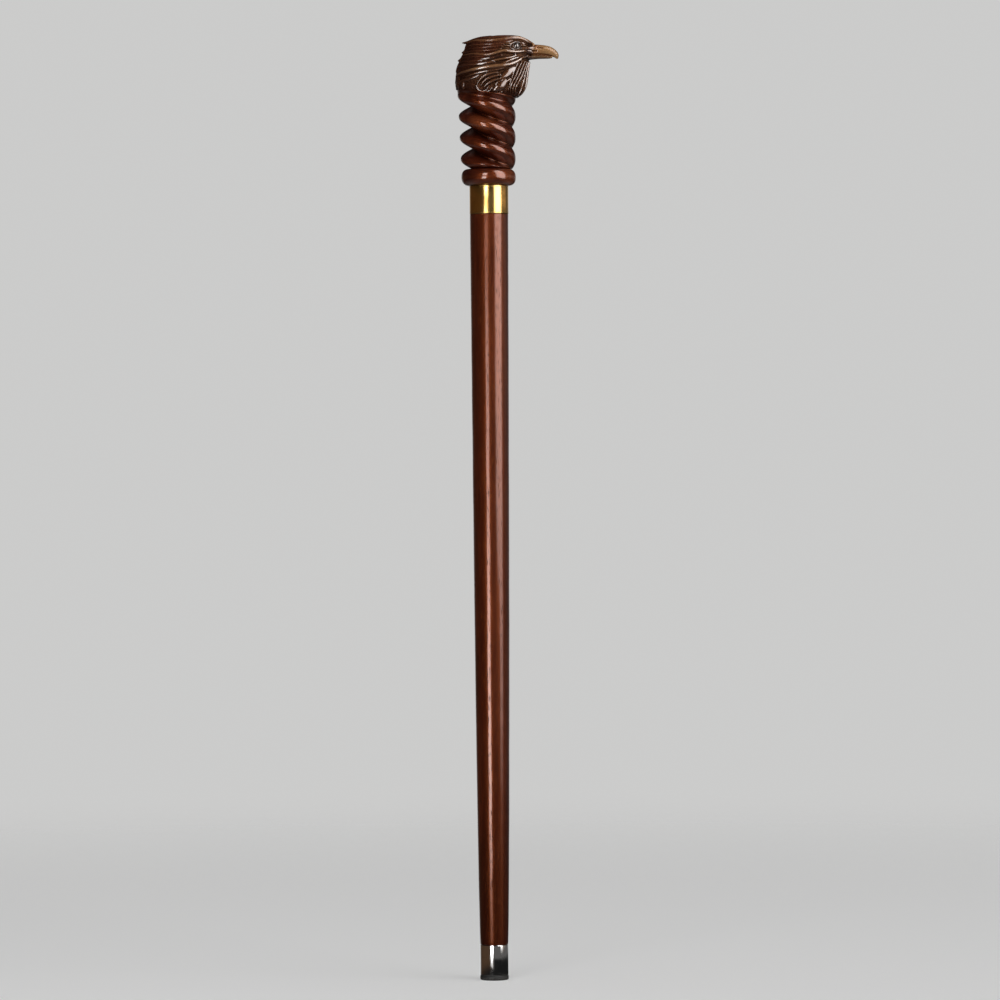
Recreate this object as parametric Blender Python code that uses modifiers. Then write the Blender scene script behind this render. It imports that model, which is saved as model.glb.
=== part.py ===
"""Walking cane: a tapered hardwood shaft on a rubber foot, with a brass collar, a rope-twist grip and a
carved eagle's head. The cane stands upright with the centre of its foot at the origin, and the beak
points to +X. All lengths are in metres."""

import math

import bmesh
import bpy
import numpy as np
from mathutils import Matrix, Vector
from mathutils.bvhtree import BVHTree

for old in list(bpy.data.objects):
    bpy.data.objects.remove(old, do_unlink=True)

# Clearances
SEAT_GAP = 0.0003  # between two faces that rest on each other
FIT = 0.0003  # radial, between a spigot, plug or insert and its bore

# Rubber foot
PAD_RADIUS = 0.0138
PAD_THICKNESS = 0.0044
PAD_EDGE = 0.0011
PLUG_LENGTH = 0.0100
PLUG_RIB = 0.0003
PLUG_RIB_PITCH = 0.0028
TREAD_RADII = (0.0052, 0.0088)
TREAD_WIDTH = 0.0010
TREAD_DEPTH = 0.0009

# Ferrule and the steel disc inside it
FERRULE_RADIUS = 0.01345
FERRULE_WALL = 0.0011
FERRULE_LENGTH = 0.0292
DISC_THICKNESS = 0.0012

# Shaft
SHAFT_LENGTH = 0.7062  # between the ferrule and the collar
SHAFT_FOOT_RADIUS = 0.01345
SHAFT_TOP_RADIUS = 0.01870
SHAFT_SWELL = 0.0013  # how much fuller than a straight taper the shaft is at its fullest
SHAFT_SWELL_PLACE = 0.32  # of the way up, where that is

# Brass collar over the joint between shaft and grip
COLLAR_RADIUS = 0.01880
COLLAR_WALL = 0.0012
COLLAR_LENGTH = 0.0274
GRIP_TENON_LENGTH = 0.0100
METAL_EDGE = 0.0004

# Threaded rod and the two brass inserts that it screws into
STUD_RADIUS = 0.0040
STUD_GRIP_LENGTH = 0.0160  # how far the rod reaches into each insert
INSERT_RADIUS = 0.0070
INSERT_LENGTH = 0.0200
INSERT_FLANGE_RADIUS = 0.0088
INSERT_FLANGE_THICKNESS = 0.0016
PILOT_DEPTH = 0.0060  # drilled past the end of each insert

# Rope-twist grip
RING_HEIGHT = 0.0159
RING_RADIUS = 0.0266
RING_GROOVE_RADIUS = 0.0208
GRIP_HEIGHT = 0.0886  # from the collar to the head's seat, on the cane's axis
GRIP_FOOT_RADIUS = 0.0262
GRIP_OVERHANG = 0.0025  # how far the grip's top stands out past the sides of the head
GRIP_TOP_LEAN = 0.0016  # how far the grip's centre has moved to the rear at the head
STRANDS = 2
STRAND_RISE = 0.0204  # from one groove to the next, up the grip
GROOVE_DEPTH_REAR = 0.0150
GROOVE_DEPTH_FRONT = 0.0034
GROOVE_START = 0.0157  # height of the lowest groove above the collar, at the rear
GROOVE_RUN_OUT = 0.0080  # how far below the head's seat the grooves start to grow shallow
SEAT_SLOPE = 0.13  # the head's seat falls towards the beak

# Eagle's head, over the seat
HEAD_HEIGHT = 0.0572
HEAD_DEPTH = 0.0710  # nape to throat
HEAD_WIDTH = 0.0520
BEAK_LENGTH = 0.0252  # past the brow

# Sizes and levels that follow
GRIP_TOP_RADIUS = HEAD_WIDTH / 2 + GRIP_OVERHANG
Z_FERRULE = PAD_THICKNESS + SEAT_GAP
Z_SHAFT = Z_FERRULE + FERRULE_LENGTH + SEAT_GAP
Z_COLLAR = Z_SHAFT + SHAFT_LENGTH + SEAT_GAP
Z_GRIP = Z_COLLAR + COLLAR_LENGTH + SEAT_GAP
Z_SEAT = Z_GRIP + GRIP_HEIGHT
Z_TENON = Z_GRIP - GRIP_TENON_LENGTH
Z_SHAFT_TOP = Z_TENON - SEAT_GAP
Z_HEAD = Z_SEAT + SEAT_GAP

ROUND = 48  # facets round the cane
SMALL_ROUND = 24  # facets round the rod and its inserts

parts = bpy.data.collections.new("walking_cane")
cutters = bpy.data.collections.new("cutters")
for collection in (parts, cutters):
    bpy.context.scene.collection.children.link(collection)


def material(name, color, roughness, metallic=0.0):
    """A plain material with the part's colour."""
    made = bpy.data.materials.new(name)
    made.use_nodes = True
    shader = made.node_tree.nodes["Principled BSDF"]
    shader.inputs["Base Color"].default_value = (*color, 1.0)
    shader.inputs["Roughness"].default_value = roughness
    shader.inputs["Metallic"].default_value = metallic
    return made


def solid(name, mesh, finish=None, collection=parts):
    """An object in the scene, holding this mesh."""
    made = bpy.data.objects.new(name, mesh)
    collection.objects.link(made)
    if finish:
        mesh.materials.append(finish)
    if collection is cutters:
        made.hide_render = True
        made.display_type = "WIRE"
    return made


def turned(name, profile, finish=None, steps=ROUND, edge=0.0, collection=parts):
    """A lathe-turned piece. The profile is (radius, height) pairs that run down its outer side. A tube's
    profile is a closed loop, and a piece that reaches the axis starts and ends there."""
    mesh = bpy.data.meshes.new(name)
    points = [(radius, 0.0, height) for radius, height in profile]
    last = len(points) - 1
    edges = [(i, i + 1) for i in range(last)]
    if profile[0][0] > 0:
        edges.append((last, 0))
    mesh.from_pydata(points, edges, [])
    made = solid(name, mesh, finish, collection)
    screw = made.modifiers.new("turn", "SCREW")
    screw.axis = "Z"
    screw.steps = screw.render_steps = steps
    screw.use_merge_vertices = True
    screw.merge_threshold = 0.00001
    if edge:
        bevel = made.modifiers.new("edges", "BEVEL")
        bevel.width = edge
        bevel.segments = 1
        bevel.limit_method = "ANGLE"
        bevel.angle_limit = math.radians(40)
    return made


def cut(piece, cutter, operation="DIFFERENCE"):
    """Cuts the piece with the cutter, which stays in the file as a wire shape."""
    boolean = piece.modifiers.new(cutter.name, "BOOLEAN")
    boolean.operation = operation
    boolean.object = cutter
    boolean.solver = "EXACT"
    return boolean


def arc(radius, height, size, start, end, points=5):
    """Profile points along an arc about (radius, height), from one angle to another in degrees."""
    angles = np.radians(np.linspace(start, end, points))
    return [(radius + size * math.cos(a), height + size * math.sin(a)) for a in angles]


def closed_form(rings):
    """The points and faces of a solid through rings of points, each as many as the last, with flat ends."""
    count = len(rings[0])
    points = [tuple(point) for ring in rings for point in ring]
    faces = [tuple(reversed(range(count)))]
    for low in range(0, len(points) - count, count):
        for i in range(count):
            j = (i + 1) % count
            faces.append((low + i, low + j, low + count + j, low + count + i))
    faces.append(tuple(range(len(points) - count, len(points))))
    return points, faces


def skinned(name, forms, finish=None, collection=parts):
    """One object that holds these closed forms."""
    points, faces = [], []
    for form_points, form_faces in forms:
        start = len(points)
        points += form_points
        faces += [tuple(start + i for i in face) for face in form_faces]
    mesh = bpy.data.meshes.new(name)
    mesh.from_pydata(points, [], faces)
    return solid(name, mesh, finish, collection)


# Rubber foot: a pad that shows below the ferrule, and a ribbed plug that grips inside it.
ferrule_bore = FERRULE_RADIUS - FERRULE_WALL
plug_radius = ferrule_bore - FIT - PLUG_RIB
z_plug_top = Z_FERRULE + PLUG_LENGTH
rubber = material("black_rubber", (0.015, 0.015, 0.015), 0.8)


def foot_profile():
    """From the top of the plug down its ribs, round the pad and across the treads to the centre."""
    profile = [(0.0, z_plug_top), (plug_radius, z_plug_top)]
    ribs = int((PLUG_LENGTH - PLUG_RIB_PITCH) / PLUG_RIB_PITCH)
    for rib in range(ribs):
        z = z_plug_top - PLUG_RIB_PITCH * (rib + 0.5)
        profile += [
            (plug_radius, z),
            (plug_radius + PLUG_RIB, z - 0.45 * PLUG_RIB_PITCH),
            (plug_radius, z - 0.6 * PLUG_RIB_PITCH),
        ]
    profile += [(plug_radius, PAD_THICKNESS)]
    profile += arc(PAD_RADIUS - PAD_EDGE, PAD_THICKNESS - PAD_EDGE, PAD_EDGE, 90, 0, 3)
    profile += arc(PAD_RADIUS - PAD_EDGE, PAD_EDGE, PAD_EDGE, 0, -90, 3)
    for radius in sorted(TREAD_RADII, reverse=True):
        profile += [
            (radius + TREAD_WIDTH / 2, 0.0),
            (radius + TREAD_WIDTH / 2, TREAD_DEPTH),
            (radius - TREAD_WIDTH / 2, TREAD_DEPTH),
            (radius - TREAD_WIDTH / 2, 0.0),
        ]
    return profile + [(0.0, 0.0)]


rubber_tip = turned("rubber_tip", foot_profile(), rubber)

# Steel disc that keeps the end of the wood from cutting into the rubber.
steel = material("zinc_plated_steel", (0.55, 0.55, 0.53), 0.35, 1.0)
z_disc = z_plug_top + SEAT_GAP
z_disc_top = z_disc + DISC_THICKNESS
disc_radius = ferrule_bore - FIT
tip_disc = turned(
    "tip_disc",
    [(0.0, z_disc_top), (disc_radius, z_disc_top), (disc_radius, z_disc), (0.0, z_disc)],
    steel,
)

# Ferrule: a chromed tube over the end of the shaft.
chrome = material("chrome_plate", (0.80, 0.80, 0.82), 0.06, 1.0)
z_ferrule_top = Z_FERRULE + FERRULE_LENGTH
ferrule = turned(
    "ferrule",
    [
        (FERRULE_RADIUS, z_ferrule_top),
        (FERRULE_RADIUS, Z_FERRULE),
        (ferrule_bore, Z_FERRULE),
        (ferrule_bore, z_ferrule_top),
    ],
    chrome,
    edge=METAL_EDGE,
)

# Shaft: one tapered stick, turned down at both ends and bored for the upper insert.
mahogany = material("varnished_mahogany", (0.155, 0.032, 0.014), 0.22)
collar_bore = COLLAR_RADIUS - COLLAR_WALL
z_shaft_foot = z_disc_top + SEAT_GAP
stud_bore = STUD_RADIUS + FIT
SHAFT_LEVELS = 6


def shaft_side():
    """The shaft's outer side from the collar down to the ferrule: a taper that swells a little."""
    swell_power = math.log(0.5) / math.log(SHAFT_SWELL_PLACE)
    profile = []
    for share in np.linspace(1, 0, SHAFT_LEVELS + 1):
        taper = SHAFT_FOOT_RADIUS + (SHAFT_TOP_RADIUS - SHAFT_FOOT_RADIUS) * share
        swell = SHAFT_SWELL * math.sin(math.pi * share**swell_power)
        profile.append((taper + swell, Z_SHAFT + SHAFT_LENGTH * share))
    return profile


def insert_bore(mouth, way):
    """The stepped hole that takes an insert and the rod's end, from its mouth inwards. way is +1 if the
    hole runs upwards and -1 if it runs down."""
    flange = mouth + way * (INSERT_FLANGE_THICKNESS + SEAT_GAP)
    bottom = mouth + way * (INSERT_LENGTH + SEAT_GAP)
    pilot = bottom + way * PILOT_DEPTH
    return [
        (INSERT_FLANGE_RADIUS + FIT, mouth),
        (INSERT_FLANGE_RADIUS + FIT, flange),
        (INSERT_RADIUS + FIT, flange),
        (INSERT_RADIUS + FIT, bottom),
        (stud_bore, bottom),
        (stud_bore, pilot),
        (0.0, pilot + way * stud_bore * 0.6),
    ]


def insert_profile(mouth, way):
    """The brass insert, as a closed loop round its wall. Its flange lies flush with the mouth."""
    flange = mouth + way * INSERT_FLANGE_THICKNESS
    bottom = mouth + way * INSERT_LENGTH
    loop = [
        (INSERT_FLANGE_RADIUS, mouth),
        (INSERT_FLANGE_RADIUS, flange),
        (INSERT_RADIUS, flange),
        (INSERT_RADIUS, bottom),
        (stud_bore, bottom),
        (stud_bore, mouth),
    ]
    return loop if way < 0 else loop[::-1]


shaft_profile = insert_bore(Z_SHAFT_TOP, -1)[::-1] + [
    (collar_bore - FIT, Z_SHAFT_TOP),
    (collar_bore - FIT, Z_SHAFT + SHAFT_LENGTH),
    *shaft_side(),
    (ferrule_bore - FIT, Z_SHAFT),
    (ferrule_bore - FIT, z_shaft_foot),
    (0.0, z_shaft_foot),
]
shaft = turned("shaft", shaft_profile, mahogany)

# Brass collar.
brass = material("polished_brass", (0.72, 0.47, 0.16), 0.16, 1.0)
z_collar_top = Z_COLLAR + COLLAR_LENGTH
collar = turned(
    "brass_collar",
    [
        (COLLAR_RADIUS, z_collar_top),
        (COLLAR_RADIUS, Z_COLLAR),
        (collar_bore, Z_COLLAR),
        (collar_bore, z_collar_top),
    ],
    brass,
    edge=METAL_EDGE,
)

# Inserts and the threaded rod that draws shaft, grip and head together.
insert_brass = material("insert_brass", (0.68, 0.48, 0.22), 0.35, 1.0)
z_head_socket = Z_HEAD + SEAT_SLOPE * (INSERT_FLANGE_RADIUS + FIT)
shaft_insert = turned(
    "shaft_insert", insert_profile(Z_SHAFT_TOP, -1), insert_brass, steps=SMALL_ROUND
)
head_insert = turned(
    "head_insert", insert_profile(z_head_socket, 1), insert_brass, steps=SMALL_ROUND
)
z_stud = Z_SHAFT_TOP - STUD_GRIP_LENGTH
z_stud_top = z_head_socket + STUD_GRIP_LENGTH
handle_stud = turned(
    "handle_stud",
    [(0.0, z_stud_top), (STUD_RADIUS, z_stud_top), (STUD_RADIUS, z_stud), (0.0, z_stud)],
    steel,
    steps=SMALL_ROUND,
    edge=0.0006,
)

# Rope-twist grip: a half-round ring over the collar, and two strands that wind up to the head. The
# twist is left-handed. Its grooves are cut far deeper at the rear than under the beak, and run out where
# the last strand flows into the head.
grip_wood = material("red_mahogany", (0.150, 0.026, 0.012), 0.14)
z_ring_top = Z_GRIP + RING_HEIGHT
RING_FOOT_LIP = 0.0008  # how far the ring's foot stands out past the collar
RING_MIDDLE = 0.50  # of the ring's height, where it is widest
RING_FULLNESS = 2.2  # 2 is a half circle
SHOULDER_HEIGHT = 0.0050
STRAND_FULLNESS = 2.35
GROOVE_ROUNDING = 0.16  # of half a strand, how round a groove is at its bottom
GROOVE_FADE = 2.5  # how soon a groove grows shallow on its way round to the front
GROOVE_CROWDING = 0.60  # how much closer the section's points lie at a groove
TWIST_SIDES = 36
RING_STEPS = 10
SHOULDER_STEPS = 4
STRAND_STEPS = 9  # levels to each strand's rise
CUTTER_REACH = 0.0100  # how far a cutter runs past the piece it cuts
CUTTER_SPAN = 0.2
TENON_OVERLAP = 0.0020  # how far the tenon's form reaches into the ring


def ring_radius(z):
    """The turned ring: a half round over the collar, drawn in to the groove above it."""
    foot = COLLAR_RADIUS + RING_FOOT_LIP
    middle = Z_GRIP + RING_MIDDLE * RING_HEIGHT
    inner = foot if z < middle else RING_GROOVE_RADIUS
    reach = (z - middle) / (middle - Z_GRIP if z < middle else z_ring_top - middle)
    return inner + (RING_RADIUS - inner) * math.sqrt(max(0.0, 1 - abs(reach) ** RING_FULLNESS))


def shoulder_radius(z, full):
    """How the strands swell out of the groove above the ring."""
    reach = min(1.0, (z - z_ring_top) / SHOULDER_HEIGHT)
    return RING_GROOVE_RADIUS + (full - RING_GROOVE_RADIUS) * math.sqrt(1 - (1 - reach) ** 2)


def strand_share(angle):
    """How far into a groove this angle of the strands' section lies: 0 on a strand's crown and 1 at the
    bottom of a groove."""
    away = 1 - abs(2 * (angle * STRANDS / math.tau % 1.0) - 1)
    rise = math.hypot(away, GROOVE_ROUNDING) - GROOVE_ROUNDING
    whole = math.hypot(1, GROOVE_ROUNDING) - GROOVE_ROUNDING
    return max(0.0, 1 - rise / whole) ** STRAND_FULLNESS


def groove_depth(heading, z):
    """How deep the grooves are at this heading and height."""
    to_front = ((1 + math.cos(heading)) / 2) ** GROOVE_FADE
    depth = GROOVE_DEPTH_REAR + (GROOVE_DEPTH_FRONT - GROOVE_DEPTH_REAR) * to_front
    seat = Z_SEAT - SEAT_SLOPE * GRIP_TOP_RADIUS * math.cos(heading)
    run_out = min(1.0, max(0.0, (seat - z) / GROOVE_RUN_OUT))
    return depth * (3 - 2 * run_out) * run_out**2


def section_angles():
    """Angles round the strands' section, closer together towards each groove."""
    each = TWIST_SIDES // STRANDS
    shares = [i / each for i in range(each)]
    eased = [s - GROOVE_CROWDING * math.sin(math.tau * s) / (math.tau) for s in shares]
    return [math.tau * (strand + share) / STRANDS for strand in range(STRANDS) for share in eased]


def grip_ring(z):
    """One ring of points at a height of the grip."""
    climb = (z - Z_GRIP) / GRIP_HEIGHT
    lean = -GRIP_TOP_LEAN * climb
    full = GRIP_FOOT_RADIUS + (GRIP_TOP_RADIUS - GRIP_FOOT_RADIUS) * climb
    turn = -math.tau * (max(z, z_ring_top) - Z_GRIP - GROOVE_START) / (STRANDS * STRAND_RISE)
    points = []
    for angle in section_angles():
        heading = angle + turn + math.pi
        if z <= z_ring_top:
            radius = ring_radius(z)
        else:
            radius = min(full - groove_depth(heading, z) * strand_share(angle), shoulder_radius(z, full))
        points.append((radius * math.cos(heading) + lean, radius * math.sin(heading), z))
    return points


ring_levels = [
    Z_GRIP + RING_HEIGHT * (1 - math.cos(math.pi * i / RING_STEPS)) / 2 for i in range(RING_STEPS + 1)
]
shoulder_levels = [
    z_ring_top + SHOULDER_HEIGHT * (i / SHOULDER_STEPS) ** 1.6 for i in range(1, SHOULDER_STEPS + 1)
]
twist_top = Z_SEAT + SEAT_SLOPE * GRIP_TOP_RADIUS + CUTTER_REACH
twist_steps = round((twist_top - shoulder_levels[-1]) / (STRAND_RISE / STRAND_STEPS))
twist_levels = list(np.linspace(shoulder_levels[-1], twist_top, twist_steps + 1)[1:])
grip_rings = [grip_ring(z) for z in ring_levels + shoulder_levels + twist_levels]
twist_grip = skinned("twist_grip", [closed_form(grip_rings)], grip_wood)


def seat_cutter(name, height, up):
    """A slab whose lower or upper face is the head's sloping seat at this height on the cane's axis."""
    mesh = bpy.data.meshes.new(name)
    form = bmesh.new()
    bmesh.ops.create_cube(form, size=CUTTER_SPAN)
    bmesh.ops.translate(form, verts=form.verts, vec=(0, 0, CUTTER_SPAN / 2 * (1 if up else -1)))
    bmesh.ops.rotate(form, verts=form.verts, matrix=Matrix.Rotation(math.atan(SEAT_SLOPE), 3, "Y"))
    bmesh.ops.translate(form, verts=form.verts, vec=(0, 0, height))
    form.to_mesh(mesh)
    form.free()
    return solid(name, mesh, collection=cutters)


def rod_cutter(name, radius, top, bottom, steps):
    """A straight round form on the cane's axis."""
    profile = [(0.0, top), (radius, top), (radius, bottom), (0.0, bottom)]
    return turned(name, profile, steps=steps, collection=cutters)


tenon = rod_cutter("grip_tenon", collar_bore - FIT, Z_GRIP + TENON_OVERLAP, Z_TENON, ROUND)
grip_bore = rod_cutter(
    "grip_bore", stud_bore + FIT, twist_top + CUTTER_REACH, Z_TENON - CUTTER_REACH, SMALL_ROUND
)
cut(twist_grip, tenon, "UNION")
cut(twist_grip, seat_cutter("grip_seat", Z_SEAT, True))
cut(twist_grip, grip_bore)

# Eagle's head. Its forms are drawn in millimetres over the seat, on a head of the drawn size below:
# x runs from the nape to the beak, y out to one side and z up. Both sides are alike.
DRAWN_HEIGHT, DRAWN_DEPTH, DRAWN_WIDTH = 57.2, 71.0, 52.0
DRAWN_BROW, DRAWN_BEAK = 44.0, 25.2
drawn_mm = HEAD_WIDTH / DRAWN_WIDTH  # the real length of a millimetre of the drawing's widths
EYE_PLACE = (27.4, 46.3)  # x and z
EYE_RADIUS = 3.6
EYE_SINK = 1.3  # how far the ball's centre lies inside the socket's surface
SOCKET_REACH = 5.2
SOCKET_DEPTH = 3.2
MIDDLE_REACH = 2.0  # how far beside the middle a route starts that runs past the side of the head
LOCK_ROOT = 0.6  # of the full width
LOCK_WIDEST = 0.35  # of the way from root to tip
LOCK_TIP = 0.2
TIP_BEND = 2.5  # how late a lock's tip leaves the head
LOCK_SINK = 1.4
LOCK_STEPS = 14
LOCK_SIDES = 10
FORM_GRAIN = 0.0009  # the width of the smallest cut left by the carving
FORM_SHARE = 0.077  # of the carved surface's faces kept in the finished solid
BLANK_SOFTENING_STEPS = 4
HEAD_SOFTENING_STEPS = 2

carved_wood = material("antiqued_wood", (0.115, 0.045, 0.022), 0.34)

# Skull and neck: (height, nape, face, half width)
SKULL = [
    (-9.0, -29.6, 28.0, 25.2),
    (-1.0, -30.6, 31.8, 25.8),
    (7.0, -30.8, 35.6, 25.8),
    (14.0, -30.2, 36.8, 25.0),
    (21.0, -29.5, 37.8, 23.8),
    (27.0, -28.0, 39.0, 22.6),
    (33.0, -25.3, 40.0, 21.4),
    (39.0, -22.3, 40.8, 20.6),
    (44.0, -20.6, 41.5, 19.8),
    (48.0, -19.4, 41.0, 18.6),
    (51.2, -16.0, 38.0, 16.2),
    (54.0, -6.5, 34.5, 12.6),
    (55.4, 3.0, 30.5, 8.6),
    (56.1, 10.0, 26.0, 4.5),
]
SKULL_STEPS = 30
SKULL_SIDES = 40
SKULL_FACE_TAPER = 0.22  # how much narrower the face is than the back of the head
SKULL_ROUNDNESS = 2.25  # 2 is an ellipse
RIM_ROLL = 0.05  # how far the neck draws in where it meets the seat
RIM_HEIGHT = 2.6

# Upper beak: (top x, top z, underside x, underside z, half width), out to the hook
UPPER_BEAK = [
    (33.0, 46.5, 33.0, 36.0, 11.4),
    (40.5, 47.2, 40.5, 36.8, 9.6),
    (45.0, 47.4, 44.8, 37.2, 8.4),
    (50.5, 47.1, 49.8, 37.4, 7.4),
    (56.2, 46.5, 55.0, 37.1, 6.4),
    (61.5, 45.1, 59.5, 36.5, 5.4),
    (65.6, 42.5, 62.8, 35.6, 4.4),
    (68.3, 39.4, 65.0, 34.6, 3.4),
    (69.2, 36.4, 66.4, 33.6, 2.3),
    (68.6, 33.9, 67.4, 33.2, 1.1),
]
LOWER_BEAK = [
    (33.0, 37.4, 33.0, 31.5, 9.6),
    (40.5, 38.2, 40.5, 32.8, 8.0),
    (46.0, 38.4, 46.0, 33.4, 6.8),
    (52.0, 38.2, 52.0, 33.7, 5.6),
    (58.0, 37.6, 57.5, 33.7, 4.3),
    (62.6, 36.6, 62.0, 34.2, 2.8),
]
UPPER_BEAK_STEPS, LOWER_BEAK_STEPS = 16, 10
BEAK_SIDES = 20

# Feather locks on each side: (route, width, height, lift at the tip). A route runs from root to tip. Its
# (x, z) points lie on the side of the head, and its (x, y, z) points on the nearest part of it. A tip
# without a lift stands free of the head at the route's last point.
SIDE_LOCKS = [
    # brow, running back into the crest
    (
        [(44, 46.4), (38, 50.2), (31.5, 53), (24, 54), (16.5, 52.6), (6.5, 51.8), (-6, 51.4)]
        + [(-15, 8.5, 50.8), (-24.4, 3.2, 49.6)],
        5.0,
        2.8,
        None,
    ),
    # crown, beside the middle
    ([(29, 4.5, 54), (16, 7, 55), (2, 7.5, 54), (-10, 6, 52)], 4.8, 1.2, 0.3),
    # back of the head, under the crest
    ([(15, 47.8), (4, 47), (-8, 46.6), (-15.5, 11.5, 46), (-21.4, 2.4, 45.2)], 4.8, 2.1, None),
    ([(14, 44.2), (4, 43.2), (-8, 42.6), (-16.5, 12, 41.6), (-24.8, 2.4, 40.4)], 4.4, 2.0, None),
    # cheek lock from under the eye
    (
        [(34, 41.6), (26, 40.9), (17, 42.2), (8, 39.6), (-3, 38.4), (-14, 38.8)]
        + [(-19.5, 12.5, 37.8), (-27.4, 3, 34.6)],
        4.8,
        2.7,
        None,
    ),
    # short locks behind the jaw
    ([(27.5, 37.4), (18, 34.6), (10, 33), (0, 31.2)], 3.6, 2.2, 0.6),
    ([(29.5, 35.6), (22, 31.8), (15, 29.6), (8, 29)], 3.6, 2.2, 0.6),
    # low lock in the valley behind the ear
    ([(-2, 34.8), (-12, 34.6), (-20.5, 14, 33.4), (-29, 3, 31.8)], 5.2, 1.6, None),
    # the two long locks under the ear, and the one below them
    ([(7, 31.6), (-3, 30), (-14, 28.9), (-23.6, 13.5, 27.6), (-30.2, 3, 26)], 5.4, 2.2, None),
    (
        [(31, 34.2), (24, 30), (14, 27.4), (2, 26.4), (-8, 24.8), (-20, 22)]
        + [(-27, 13, 19.6), (-31.8, 3, 17.4)],
        6.2,
        3.3,
        None,
    ),
    ([(26, 27.6), (14, 25), (0, 22), (-12, 19.8), (-21, 16.6), (-27.6, 14, 13)], 4.6, 2.0, 0.5),
    # curls over the neck
    ([(11, 20.5), (1, 19), (-5.5, 16), (-9.5, 10)], 4.4, 2.7, 0.4),
    ([(13, 16), (4, 14.4), (-2.5, 10.5), (-5, 5.5)], 4.2, 2.5, 0.4),
    ([(-10.5, 8), (-8.5, 3.6), (-2.5, 3), (1.5, 7)], 3.8, 2.2, 0.3),
    # broad feathers under the jaw
    ([(28, 26.5), (22.5, 22.5), (17, 18), (10.5, 13.5)], 9.0, 2.3, 0.5),
    ([(20.5, 12.5), (15.5, 8), (10.5, 3.5), (5, 1)], 9.4, 2.4, 0.4),
    # throat strands
    ([(30, 31.6), (25, 24), (22, 16), (19, 9), (20, 3)], 3.6, 2.3, 0.3),
    ([(34, 31.6), (29, 23), (26, 15), (22.5, 8), (23, 1)], 3.6, 2.3, 0.3),
    ([(37.5, 31), (33, 22), (30, 14), (26.5, 7), (26, -1)], 3.6, 2.3, 0.3),
    ([(39.5, 30.5), (37, 22), (34.5, 13), (31, 5.5), (30.5, -2)], 3.6, 2.3, 0.3),
    ([(39.2, 5, 31), (36.8, 7, 21), (35.4, 7.5, 12), (33.6, 6.5, 4.5), (30.6, 5.5, -2)], 3.6, 2.0, 0.2),
    # low on the back of the neck
    ([(-27.6, 9, 16), (-29.4, 9.5, 10), (-29.2, 9, 4.6)], 7.4, 1.4, 0.4),
]
MIDDLE_LOCKS = [
    # crown and crest
    ([(33, 0, 53), (22, 0, 55), (8, 0, 55), (-4, 0, 54)], 4.4, 1.0, 0.2),
    ([(4, 0, 55), (-5, 0, 54), (-13, 0, 52.2), (-26, 0, 49.8)], 9.0, 1.8, None),
    # down the nape
    ([(-16.5, 0, 49), (-19.4, 0, 45.6), (-21.6, 0, 42.4), (-26.4, 0, 39.8)], 8.4, 2.0, None),
    ([(-20.6, 0, 39.5), (-23.6, 0, 36.4), (-26.2, 0, 34), (-30.2, 0, 32)], 8.8, 2.0, None),
    ([(-25, 0, 32), (-27.6, 0, 28), (-29.6, 0, 24.5), (-32, 0, 21)], 9.0, 1.9, None),
    ([(-28.4, 0, 23), (-29.8, 0, 18.5), (-30.8, 0, 14), (-32.4, 0, 10)], 9.0, 1.6, None),
    ([(-30.2, 0, 13), (-30.8, 0, 9), (-31, 0, 6), (-31.4, 0, 3.2)], 9.0, 1.3, None),
    # throat
    ([(39.8, 0, 30), (38, 0, 21), (36.6, 0, 12.5), (34.6, 0, 5), (31.2, 0, -2)], 4.2, 2.0, 0.2),
]


def through(points, count):
    """Points along a smooth curve through the given ones, which it passes at an even pace."""
    knots = np.array(points, float)
    knots = np.vstack([2 * knots[0] - knots[1], knots, 2 * knots[-1] - knots[-2]])
    pace = np.concatenate([[0], np.cumsum(np.sqrt(np.linalg.norm(np.diff(knots, axis=0), axis=1)))])
    curve = []
    for place in np.linspace(pace[1], pace[-2], count):
        i = min(len(knots) - 3, max(1, int(np.searchsorted(pace, place, "right") - 1)))
        layer = knots[i - 1 : i + 3]
        times = pace[i - 1 : i + 3]
        for step in (1, 2):
            layer = [
                ((times[j + step] - place) * layer[j] + (place - times[j]) * layer[j + 1])
                / (times[j + step] - times[j])
                for j in range(len(layer) - 1)
            ]
        curve.append(((times[2] - place) * layer[0] + (place - times[1]) * layer[1]) / (times[2] - times[1]))
    return np.array(curve)


def drawn(x, y, z):
    """A point of the drawing, at its real size and place."""
    past_brow = max(0.0, x - DRAWN_BROW)
    depth = (x - past_brow) * HEAD_DEPTH / DRAWN_DEPTH + past_brow * BEAK_LENGTH / DRAWN_BEAK
    return (depth, y * HEAD_WIDTH / DRAWN_WIDTH, Z_HEAD + z * HEAD_HEIGHT / DRAWN_HEIGHT)


def skull_rings():
    """Level sections of skull and neck. The neck draws in at the sloping seat, and the eye sockets are
    pressed in."""
    rings = []
    for z, nape, face, half_width in through(SKULL, SKULL_STEPS):
        middle, reach = (nape + face) / 2, (face - nape) / 2
        ring = []
        for angle in np.linspace(0, math.tau, SKULL_SIDES, endpoint=False):
            c, s = math.cos(angle), math.sin(angle)
            bulge = (abs(c) ** SKULL_ROUNDNESS + abs(s) ** SKULL_ROUNDNESS) ** (-1 / SKULL_ROUNDNESS)
            x = middle + reach * c * bulge
            y = half_width * s * bulge * (1 - SKULL_FACE_TAPER * max(0.0, c * bulge) ** 2)
            over_seat = max(0.0, z + SEAT_SLOPE * x) / RIM_HEIGHT
            roll = 1 - RIM_ROLL * math.exp(-(over_seat**2))
            away = math.hypot(x - EYE_PLACE[0], 1.3 * (z - EYE_PLACE[1])) / SOCKET_REACH
            y -= math.copysign(min(abs(y), SOCKET_DEPTH * math.exp(-(away**2))), y)
            ring.append(drawn(x * roll, y * roll, z))
        rings.append(ring)
    return rings


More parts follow.
